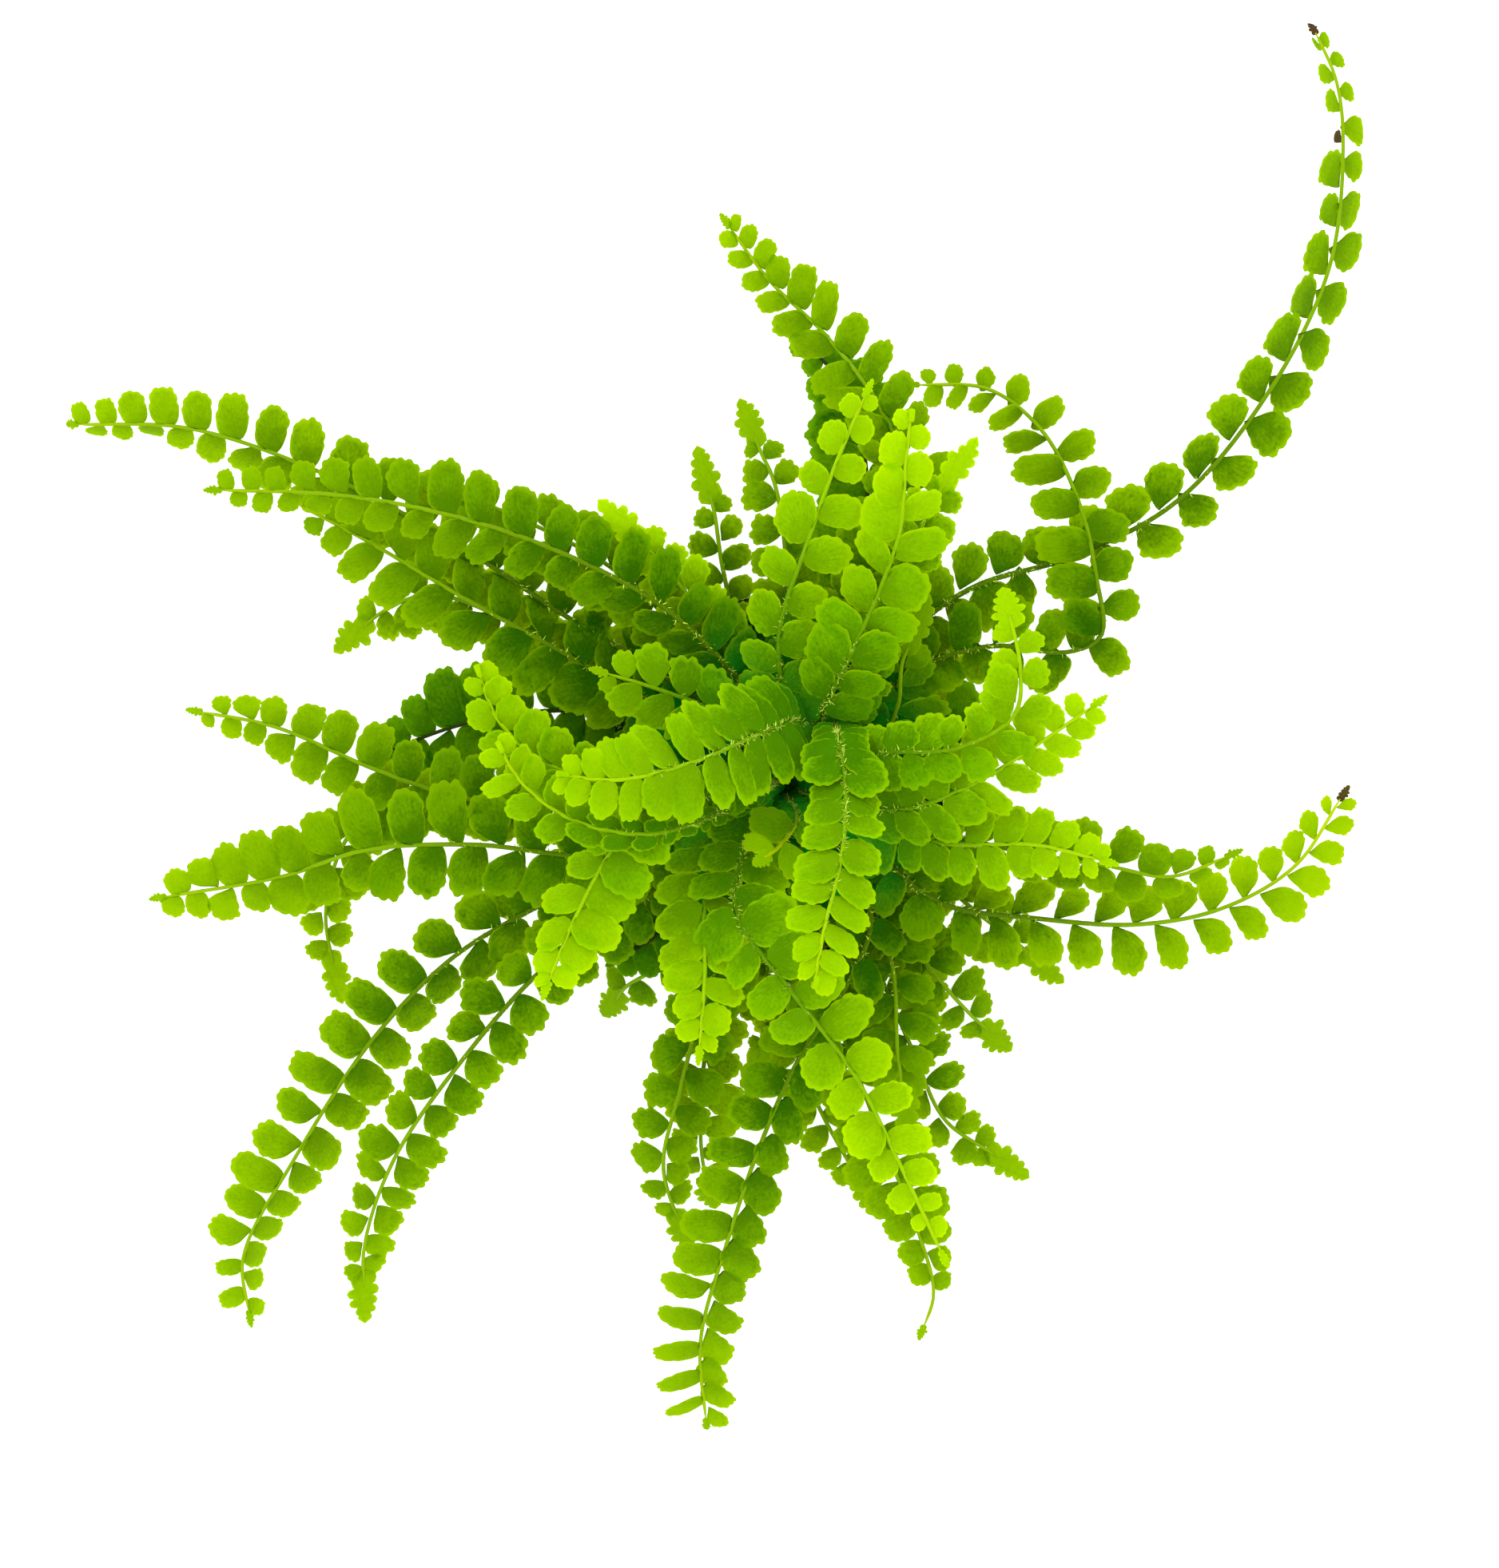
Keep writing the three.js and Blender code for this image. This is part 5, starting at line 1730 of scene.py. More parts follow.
HABITS = {
    "west_low": Habit(shade=(-1.0, -0.5), long=(1.3, 1.1), wide=1.2),
    "north_low": Habit(shade=(-1.0, -0.3), long=(1.3, 1.1), wide=1.2),
    "east_low": Habit(shade=(-1.0, -0.3), long=(1.3, 1.1), wide=1.2),
    "southwest_short": Habit(shade=(-1.0, -0.3), long=(1.3, 1.2), wide=1.2),
    "west_long": Habit((0, 55), (10, 0), long=(1.0, 0.95, 0.95, 1.1), shade=(-1.6, 0.0),
                       spacing=1.16, wide=0.94),
    "west_straight": Habit((5, 12), (25, 25), long=(1.15, 1.0), shade=(-1.0, 0.5), spacing=1.2),
    "west_high": Habit((42, 50), (0, 0), long=(1.0, 1.05, 1.2), shade=(-0.6, 0.5), spacing=1.18,
                       wide=0.94),
    "west_middle": Habit((10, 38), (0, 10), long=(1.0, 0.95, 1.0), shade=(-0.8, 0.5),
                         spacing=1.16, wide=0.92),
    "west_broad": Habit((5, 28), (0, 0), long=(1.0, 1.0, 1.0, 1.2), shade=(-0.7, 0.9),
                        spacing=1.2, wide=1.06),
    "northwest_behind": Habit(shade=(-1.2, -0.6)),
    "southwest_long": Habit((35, 50, 58), (12, 0, 0), long=(0.9, 1.0, 1.1, 1.35),
                            shade=(-1.0, 0.0), spacing=1.28, wide=0.92, lean=(8, 0)),
    "southwest_second": Habit((10, 12), (25, 35), long=(0.95, 1.0, 1.15), shade=(-0.9, 0.0),
                              spacing=1.06),
    "south_curling": Habit((20, 20), (10, 10), spacing=1.12),
    "south_under_arch": Habit(shade=(-0.8, 0.3), bare_tip=8.0, spacing=1.1),
    "south_long": Habit((10, 35), (8, 5), (8, 5, 0, -22), (0.82, 0.85, 0.95, 1.2, 1.9),
                        (-0.9, 0.5), 1.14, 0.88, lean=(38, 6)),
    "east_long": Habit((10, 25), (5, 8), (5, 10, 36), (1.0, 1.0, 1.2), (0.0, 2.1), 1.16, 0.86,
                       LeafKind.FAN, (8, 8), fresh=1.5, dead_tip=True),
    "east_behind": Habit((8, 15), (40, 45), shade=(-0.8, 0.6), spacing=1.16),
    "northeast_long": Habit((12, 30, 66, 72), (0, 8, 42, 38), (5, 10), (1.0, 0.95, 1.0, 1.4),
                            (-0.7, -0.5, 0.1), 1.36, 0.92, LeafKind.FAN, (16, -24), 0.72,
                            dead=(0.87,), dead_tip=True),
    "northeast_elbow": Habit((5, 15), (5, 15), (0, 0, 0, 0, 12, 46, 54, 20), (1.0, 1.0, 1.1),
                             (-0.6, 0.2), 1.12, 0.9, lean=(4, -32)),
    "north_long": Habit((10, 22), (10, 5), (5, 15), (1.0, 1.15), (-0.9, 0.8), 1.04, 0.86,
                        lean=(24, 24)),
    "heart_north": Habit(shade=(-1.4, -0.8)),
    "heart_northeast": Habit(shade=(-1.4, -0.7)),
    "heart_south": Habit(shade=(-1.2, -0.6)),
    "north_tall": Habit((15, 8), (8, 15), long=(0.8, 0.76), shade=(-0.9, 0.0), spacing=1.4,
                        wide=0.8),
    "north_bright": Habit((28, 20), (10, 5), long=(0.95, 0.9), shade=(-0.7, 0.6, 1.6),
                          spacing=1.2, wide=0.95, coiled=True),
    "heart_west": Habit(shade=(-1.4, -0.4), long=(0.95, 0.9), spacing=1.2, wide=1.1,
                        outer=LeafKind.WEDGE, fresh=0.7),
    "south_upright": Habit((20, 15), (20, 15), shade=(-1.7, -0.1), spacing=1.12),
    "south_arch": Habit((8, 12), (8, 12), long=(1.05, 1.0), shade=(-1.1, 0.7), spacing=1.24,
                        wide=0.9, bare_tip=4.0),
    "east_bright": Habit((10, 15), (15, 25), long=(0.9, 0.95, 1.15), shade=(-1.7, 0.0)),
    "east_rising": Habit((0, 5), (30, 10), long=(0.9, 1.05), shade=(-1.6, 0.1)),
    "east_turning": Habit(shade=(-1.0, 1.0), long=(0.8, 1.05), cut_tip=8.0,
                          cut_wide=1.75),
    "southwest_bright": Habit((5, 5), (40, 20), long=(0.8, 1.0), shade=(-1.0, 0.8),
                              spacing=1.25),
    "west_twin": Habit((25, 15), (15, 10), (20, 20), (0.6, 0.8, 1.0), (-2.8, -2.2, 0.0, 1.0),
                       coiled=True),
    "west_coiling": Habit((10, 20), (10, 20), (20, 20), (0.3, 0.35, 0.8, 1.0),
                          (-3.2, -2.4, -0.2, 1.0), coiled=True),
    # heart_yellow lies under the crown, and its high shade and fresh values paint light on it.
    "heart_yellow": Habit(shade=(2.0, 2.0), long=(1.2, 1.2), spacing=1.4, fresh=2.0, cut_tip=5.0,
                          cut_wide=1.5, outer=LeafKind.WEDGE),
    "crown_west": Habit((0, 10, 15), (0, 5), (13, 15, 12), (1.1, 1.1, 1.15), (-2.4, 0.7), 1.1,
                        1.12, hairy=1.8, coiled=True),
    "crown_south": Habit((0, 5), (0, 10, 45), (13, 15, 12), (0.8, 0.8, 0.86, 1.15, 1.15),
                         (-2.6, 0.7), 1.06, 1.16, hairy=1.8, coiled=True),
}
WIDTHS = {LeafKind.ROUND: 1.16, LeafKind.OVAL: 1.02, LeafKind.OBLONG: 0.9, LeafKind.FAN: 0.94,
          LeafKind.WEDGE: 0.92}


def euler_angles(*axes: Vector) -> tuple[float, ...]:
    """Turn the three axes of something that stands turned into Euler angles."""
    return tuple(Matrix(axes).transposed().to_euler())


# How fresh each look is at the foot, how much is gained, from where on and how late.
AGES = {Look.YOUNG: (0.1, 0.9, 0.0, 1.9), Look.MATURE: (0.0, 1.0, 0.35, 1.6),
        Look.SHADED: (0.0, 0.35, 0.6, 1.0)}


def along(run: Run, t: float) -> float:
    """Read a run, whose values are evenly spaced, at a share of the leafy rib."""
    return float(np.interp(t, np.linspace(0, 1, len(run)), run))


@dataclass
class FrondTree:
    """The node tree that turns a frond's plain points into rib, leaflets and scales.

    The scales are three-sided cones one unit long, and their sizes here are shares of that.
    """

    sides: int = 8
    scale_top: float = 0.03
    scale_foot: float = 0.13
    scale_lean: float = 0.9
    scale_lengths: tuple[float, float] = (0.45, 1.3)
    dressing: DressingTree = field(init=False)

    def __post_init__(self) -> None:
        """Lay out the nodes."""
        finishes = ("Leaf finish", "Rib finish", "Scale finish")
        self.dressing = DressingTree("frond_dressing", {
            "Points": "Geometry", "Shapes": "Collection", **dict.fromkeys(finishes, "Material"),
            "Scales per square metre": "Float", "Scale length": "Float", "Seed": "Int"})
        sheet, given = self.dressing.sheet, self.dressing.given
        on_rib = sheet.named("on_rib", "BOOLEAN")
        split = sheet.add("GeometryNodeSeparateGeometry", {"domain": "POINT"},
                          {"Geometry": given.out("Points"), "Selection": on_rib})
        rib = self.rib(sheet, split.out("Selection"))
        leaves = self.leaves(sheet, split.out("Inverted"), given.out("Shapes"))
        joined = sheet.join(leaves, rib, self.scales(sheet, rib, given))
        real = sheet.add("GeometryNodeRealizeInstances", None, {"Geometry": joined})
        flow = real.out("Geometry")
        for part, name in enumerate(finishes):
            chosen = sheet.add("FunctionNodeCompare", {"data_type": "INT", "operation": "EQUAL"},
                               {2: sheet.named("part", "INT"), 3: part})
            flow = sheet.add("GeometryNodeSetMaterial", None, {
                "Geometry": flow, "Selection": chosen.out("Result"),
                "Material": given.out(name)}).out("Geometry")
        sheet.add("NodeGroupOutput", None, {0: flow})

    def rib(self, sheet: NodeSheet, points: Wire) -> Wire:
        """Sweep the stalk and rib along their points.

        Args:
            sheet: The sheet.
            points: The rib's points, joined by edges.

        Returns:
            The rib's mesh.
        """
        curve = sheet.add("GeometryNodeMeshToCurve", None, {"Mesh": points}).out("Curve")
        ring = sheet.add("GeometryNodeCurvePrimitiveCircle", {"mode": "RADIUS"},
                         {"Resolution": self.sides, "Radius": 1.0}).out("Curve")
        swept = sheet.add("GeometryNodeCurveToMesh", None, {
            "Curve": curve, "Profile Curve": ring, "Scale": sheet.named("thick", "FLOAT"),
            "Fill Caps": True}).out("Mesh")
        return sheet.store(swept, "part", "INT", 1)

    def leaves(self, sheet: NodeSheet, points: Wire, shapes: Wire) -> Wire:
        """Stand a leaflet on each leaf point.

        Args:
            sheet: The sheet.
            points: The leaf points.
            shapes: The collection of leaflet shapes.

        Returns:
            The leaflets.
        """
        picked = sheet.add("GeometryNodeCollectionInfo", {"transform_space": "ORIGINAL"}, {
            "Collection": shapes, "Separate Children": True, "Reset Children": True})
        turn = sheet.rotation(sheet.named("turn", "FLOAT_VECTOR"))
        return sheet.add("GeometryNodeInstanceOnPoints", None, {
            "Points": points, "Instance": picked.out("Instances"), "Pick Instance": True,
            "Instance Index": sheet.named("pick", "INT"), "Rotation": turn,
            "Scale": sheet.named("size", "FLOAT_VECTOR")}).out("Instances")

    def scales(self, sheet: NodeSheet, rib: Wire, given: NodeHandle) -> Wire:
        """Scatter papery scales on the stalk and the lower rib.

        Args:
            sheet: The sheet.
            rib: The rib's mesh.
            given: The tree's inputs.

        Returns:
            The scales.
        """
        hairy = sheet.named("hairy", "FLOAT")
        spread = sheet.add("GeometryNodeDistributePointsOnFaces", {"distribute_method": "RANDOM"}, {
            "Mesh": rib, "Density": hairy * given.out("Scales per square metre"),
            "Seed": given.out("Seed")})
        cone = sheet.add("GeometryNodeMeshCone", {"fill_type": "NGON"}, {
            "Vertices": 3, "Radius Top": self.scale_top, "Radius Bottom": self.scale_foot,
            "Depth": 1.0}).out("Mesh")
        lean = self.scale_lean
        turn = sheet.rotation(sheet.random((-lean, -lean, 0.0), (lean, lean, 6.28), 3))
        placing = sheet.add("FunctionNodeRotateRotation", {"rotation_space": "LOCAL"}, {
            "Rotation": spread.out("Rotation"), "Rotate By": turn}).out("Rotation")
        length = sheet.random(*self.scale_lengths, 5) * given.out("Scale length")
        placed = sheet.add("GeometryNodeInstanceOnPoints", None, {
            "Points": spread.out("Points"), "Instance": cone, "Rotation": placing,
            "Scale": length}).out("Instances")
        return sheet.store(placed, "part", "INT", 2, domain="INSTANCE")


@dataclass
class Frond:
    """One frond: rib, leaflets, end leaflet and scales, over its solid of the same name.

    Sizes are in millimetres, and those of the scales in metres. scale_density is how many
    there are on each square metre of the hairiest stalk. uneven is in degrees.
    """

    route: Route
    shelf: LeafShelf
    rib_step: float = 1.6
    stalk_radius: float = 0.57
    tip_radius: float = 0.34
    rib_end: float = 0.35
    rib_taper: float = 4.0
    under_tip: float = 2.5
    scaly_stalk: float = 16.0
    scaly_share: float = 0.5
    least_scaly: float = 20.0
    old_scaly: float = 0.5
    scale_density: float = 4.2e6
    scale_length: float = 0.0008
    seat: tuple[float, float] = (0.6, 0.1)
    lengthening: float = 1.1
    least_wide: float = 0.88
    wide_spread: float = 0.24
    tone_spread: float = 1.6
    withered_size: float = 0.45
    upright: float = 1.2
    uneven: float = 20.0
    outer_from: float = 0.3
    lobed_from: float = 0.4
    oblong_from: float = 0.25
    kind_spread: float = 0.3
    cut_root: float = 0.8
    tip_back: float = 0.4
    coil: float = 2.6
    small_tip: float = 4.0
    points: list[Vector] = field(default_factory=list)
    edges: list[tuple[int, int]] = field(default_factory=list)
    carried: dict[str, list[Any]] = field(default_factory=dict)

    def put(self, place: Vector, **numbers: Any) -> None:
        """Add a point and the numbers that it carries.

        Args:
            place: Its place in millimetres.
            numbers: Its numbers by name. Those left out are zero.
        """
        plain = {"on_rib": False, "thick": 0.0, "fresh": 0.0, "hairy": 0.0, "tone": 0.0,
                 "dry": 0.0, "turn": (0.0, 0.0, 0.0), "size": (1.0, 1.0, 1.0), "pick": 0}
        plain.update(numbers)
        for name, value in plain.items():
            self.carried.setdefault(name, []).append(value)
        self.points.append(Vector(place) * MM)

    @property
    def habit(self) -> Habit:
        """How this frond holds its leaflets."""
        return HABITS.get(self.route.row.title, Habit())

    @property
    def root(self) -> float:
        """How far before the rib's end the cut leaflet starts."""
        return self.cut_root * self.habit.cut_tip if self.route.row.lobed else 0.0

    def age(self, t: float) -> float:
        """Tell how fresh the growth is at a share of the rib."""
        least, gain, start, power = AGES[self.route.row.look]
        return self.habit.fresh * (least + gain * max(0.0, (t - start) / (1 - start)) ** power)

    def radius(self, t: float) -> float:
        """Tell the rib's radius at a share of it."""
        return self.stalk_radius + (self.tip_radius - self.stalk_radius) * t

    def lay_rib(self) -> None:
        """Put down the points of the stalk and rib."""
        end = self.route.total - SOLID_RULE.tip_bare
        count = max(8, round(end / self.rib_step))
        last = end - max(0.0, self.root - self.under_tip)
        distances = [last * k / count for k in range(count + 1)]
        places = self.route.frames(distances).place
        leafy = self.route.start
        for k, (at, place) in enumerate(zip(distances, places)):
            t = at / end
            radius = self.radius(t) * min(1.0, self.rib_end + (last - at) / self.rib_taper)
            reach = self.scaly_share * self.habit.hairy * (end - leafy) + leafy
            reach = max(self.least_scaly, reach - self.scaly_stalk)
            crown = max(0.0, 1 - max(0.0, at - self.scaly_stalk) / reach)
            usual = 1.0 if self.route.row.look is Look.YOUNG else self.old_scaly
            hairy = self.habit.hairy * crown * usual
            self.put(place, on_rib=True, thick=radius * MM, fresh=self.age(t), hairy=hairy)
            if k:
                self.edges.append((k - 1, k))

    def kind_at(self, t: float, number: int) -> LeafKind:
        """Choose a leaflet's shape by its place on the frond.

        Args:
            t: Share of the leafy rib, from 0 to 1.
            number: The leaflet's number.

        Returns:
            The shape.
        """
        chance = self.route.draw(number, 21)
        later = t + self.kind_spread * chance
        if self.habit.outer and later > self.outer_from:
            return self.habit.outer
        if self.route.row.lobed and t + 0.25 * chance > self.lobed_from:
            return LeafKind.WEDGE if chance > 0.3 else LeafKind.FAN
        if self.route.row.look is not Look.YOUNG and later > self.oblong_from:
            return LeafKind.OBLONG if chance < 0.84 else LeafKind.FAN
        if chance > 0.6:
            return LeafKind.OBLONG
        return LeafKind.OVAL if chance > 0.35 else LeafKind.ROUND

    def turn_of(self, frame: tuple[Vector, ...], leaflet: Leaflet,
                t: float) -> tuple[float, ...]:
        """Work out how a leaflet is turned.

        Args:
            frame: Forward, side and top of the rib there.
            leaflet: The leaflet.
            t: Share of the leafy rib, from 0 to 1.

        Returns:
            Its Euler angles.
        """
        forward, side, top = frame
        habit = self.habit
        uneven = self.uneven * (self.route.draw(leaflet.number, 23) - 0.5)
        drop = math.radians(along(habit.left if leaflet.side > 0 else habit.right, t) + uneven)
        twist = math.radians(along(habit.twist, t)
                             + self.uneven * (self.route.draw(leaflet.number, 24) - 0.5))
        steep = max(0.0, forward.z) ** 2
        top = (top + Vector((0, 0, self.upright * steep))).normalized()
        lean = leaflet.lean + math.radians(habit.lean[0 if leaflet.side > 0 else 1])
        away = side * leaflet.side
        away, top = away * math.cos(drop) - top * math.sin(drop), (
            top * math.cos(drop) + away * math.sin(drop))
        out = away * math.cos(lean) + forward * math.sin(lean)
        out = (out - top * out.dot(top)).normalized()
        across = out.cross(top) * leaflet.side
        across, top = across * math.cos(twist) + top * math.sin(twist), (
            top * math.cos(twist) - across * math.sin(twist))
        return euler_angles(across, out * leaflet.side, top)

    def lay_leaflets(self) -> None:
        """Put down a point for each leaflet."""
        habit = self.habit
        bare = habit.bare_tip + self.root
        leaflets = PLANT_RULE.plan(self.route, habit.spacing, bare, habit.crowding)
        start = self.route.start
        leafy = self.route.total - start
        frames = self.route.frames([leaflet.middle for leaflet in leaflets])
        withered = {min(leaflets[::2], key=lambda leaflet: abs(
            leaflet.middle - start - share * leafy)).number for share in habit.dead}
        for k, leaflet in enumerate(leaflets):
            t = (leaflet.middle - start) / leafy
            kind = self.kind_at(t, leaflet.number)
            hand = Hand.LEFT if leaflet.side > 0 else Hand.RIGHT
            variant = int(self.route.draw(leaflet.number, 25) * KIND_VARIANTS) % KIND_VARIANTS
            uneven = self.least_wide + self.wide_spread * self.route.draw(leaflet.number, 27)
            share = WIDTHS[kind] * uneven
            axes = frames.axes(k)
            _, side, top = axes
            out, up = self.seat
            foot = Vector(frames.place[k]) + side * (leaflet.side * out * self.radius(t)) + top * up
            width = share * habit.wide * leaflet.width * MM
            length = self.lengthening * along(habit.long, t) * leaflet.length * MM
            tone = self.tone_spread * (self.route.draw(leaflet.number, 26) - 0.5)
            dead = leaflet.number in withered
            shrink = self.withered_size if dead else 1.0
            # The leaflet's tone adds the habit's shade run to its random tone, as painted shade and
            # painted light.
            self.put(foot, turn=self.turn_of(axes, leaflet, t),
                     size=(shrink * width, shrink * length, length),
                     tone=tone + along(habit.shade, t), pick=self.shelf.pick(kind, variant, hand),
                     fresh=self.age(t), dry=1.0 if dead else 0.0)

    def lay_tip(self) -> None:
        """Put down a point for what ends the frond: a cut leaflet, large or small, or a coil."""
        habit = self.habit
        end = self.route.total - SOLID_RULE.tip_bare
        frames = self.route.frames([end - self.tip_back - self.root])
        variant = self.route.index % KIND_VARIANTS
        if self.route.row.lobed:
            kind, size = LeafKind.CUT_TIP, habit.cut_tip
        elif habit.coiled:
            kind, size, variant = LeafKind.COIL, self.coil, 0
        else:
            kind, size = LeafKind.CUT_TIP, self.small_tip
        # The end leaflet's tone is the last value of the shade run: its painted shade and painted
        # light.
        self.put(Vector(frames.place[0]), turn=euler_angles(*frames.axes(0)),
                 size=(size * MM, habit.cut_wide * size * MM, size * MM),
                 pick=self.shelf.pick(kind, variant), fresh=min(1.0, self.age(1.0) + 0.1),
                 tone=habit.shade[-1], dry=1.0 if habit.dead_tip else 0.0)

    def carrier(self) -> bpy.types.Object:
        """Make the object whose points the node tree reads.

        Returns:
            The object.
        """
        mesh = bpy.data.meshes.new("frond_points")
        mesh.from_pydata(self.points, self.edges, [])
        kinds = {"on_rib": ("BOOLEAN", "value"), "pick": ("INT", "value"),
                 "turn": ("FLOAT_VECTOR", "vector"), "size": ("FLOAT_VECTOR", "vector")}
        for name, values in self.carried.items():
            kind, slot = kinds.get(name, ("FLOAT", "value"))
            layer = mesh.attributes.new(name, kind, "POINT")
            layer.data.foreach_set(slot, np.array(values).ravel())
        return new_object("frond_points", mesh)

    def build(self, tree: FrondTree,
              finishes: dict[str, bpy.types.Material]) -> bpy.types.Object:
        """Build the frond's mesh.

        Args:
            tree: The node tree.
            finishes: The finish for each of the tree's material inputs.

        Returns:
            The frond's piece.
        """
        self.lay_rib()
        self.lay_leaflets()
        self.lay_tip()
        values = {"Shapes": self.shelf.collection, "Seed": self.route.index,
                  "Scales per square metre": self.scale_density,
                  "Scale length": self.scale_length, **finishes}
        return tree.dressing.grow(self.carrier(), values, f"{self.route.row.name}_leaves")


# Pot and soil

@dataclass
class NurseryPot:
    """The tapered plastic pot. Sizes are in millimetres."""

    height: float = POT_HEIGHT
    rim_diameter: float = POT_RIM_DIAMETER
    base_diameter: float = 49.0
    wall: float = 1.4
    floor: float = 1.8
    band: float = 8.0
    band_step: float = 1.5
    band_draft: float = 0.4
    base_chamfer: float = 1.0
    holes: int = 6
    hole_diameter: float = 6.0
    hole_circle: float = 34.0
    hole_sides: int = 28
    drill_past: float = 1.0
    crease_angle: float = 40.0
    sides: int = 144

    def radius(self, height: float) -> float:
        """Tell the outer radius of the tapered wall at a height."""
        inner_rim = self.rim_diameter / 2 - self.band_step
        return self.base_diameter / 2 + (inner_rim - self.base_diameter / 2) * height / self.height

    def profile(self) -> list[tuple[float, float]]:
        """Trace half of the pot's section.

        Returns:
            Radius and height, from the axis under the floor to the axis on top of it.
        """
        rim = self.rim_diameter / 2
        low = self.height - self.band
        chamfer = self.base_chamfer
        foot = self.radius(0)
        outside = [(0, 0), (foot - chamfer, 0), (foot - 0.55 * chamfer, 0.12 * chamfer),
                   (foot - 0.15 * chamfer, 0.5 * chamfer), (self.radius(chamfer), chamfer)]
        walls = [(self.radius(z), z) for z in (12, 24, 36, low - 0.25)]
        step_in = self.radius(low)
        band = [(step_in + 0.25, low), (rim - self.band_draft - 0.4, low),
                (rim - self.band_draft - 0.1, low + 0.15), (rim - self.band_draft, low + 0.45),
                (rim - 0.12, self.height - 1.2), (rim, self.height - 0.75),
                (rim - 0.08, self.height - 0.3), (rim - 0.35, self.height)]
        mouth = self.radius(self.height) - self.wall
        inside = [(mouth + 0.3, self.height), (mouth + 0.05, self.height - 0.3)]
        inside += [(self.radius(z) - self.wall, z) for z in (self.height - 1, 36, 12)]
        inside += [(self.radius(self.floor) - self.wall, self.floor + 0.6),
                   (self.radius(self.floor) - self.wall - 0.6, self.floor), (0, self.floor)]
        return outside + walls + band + inside

    def drilled(self, body: bpy.types.Object) -> bpy.types.Object:
        """Cut the drain holes through the floor.

        Args:
            body: The turned pot.

        Returns:
            The pot with its holes.
        """
        tools = MeshSketch()
        for hole in range(self.holes):
            turn = 2 * math.pi * hole / self.holes
            centre = Vector((math.cos(turn), math.sin(turn), 0)) * (self.hole_circle / 2)
            rings = []
            for level in (-self.drill_past, self.floor + self.drill_past):
                ring = []
                for step in range(self.hole_sides):
                    way = 2 * math.pi * step / self.hole_sides
                    arm = Vector((math.cos(way), math.sin(way), 0)) * (self.hole_diameter / 2)
                    ring.append(tools.add(tuple((centre + arm + Vector((0, 0, level))) * MM)))
                rings.append(ring)
            tools.skin(rings, capped=True)
        cutter = new_object("drain_cutter", tools.mesh("drain_cutter"))
        cut = body.modifiers.new("drain", "BOOLEAN")
        cut.operation = "DIFFERENCE"
        cut.solver = "EXACT"
        cut.object = cutter
        pot = baked(body, "pot_shell")
        drop(cutter)
        return pot

    def build(self, finish: bpy.types.Material) -> bpy.types.Object:
        """Build the pot.

        Args:
            finish: Its finish.

        Returns:
            The pot's piece.
        """
        sketch = lathe(self.profile(), self.sides)
        body = new_object("pot_turned", sketch.mesh("pot_turned"))
        pot = self.drilled(body)
        pot.data.set_sharp_from_angle(angle=math.radians(self.crease_angle))
        pot.data.materials.clear()
        pot.data.materials.append(finish)
        return pot


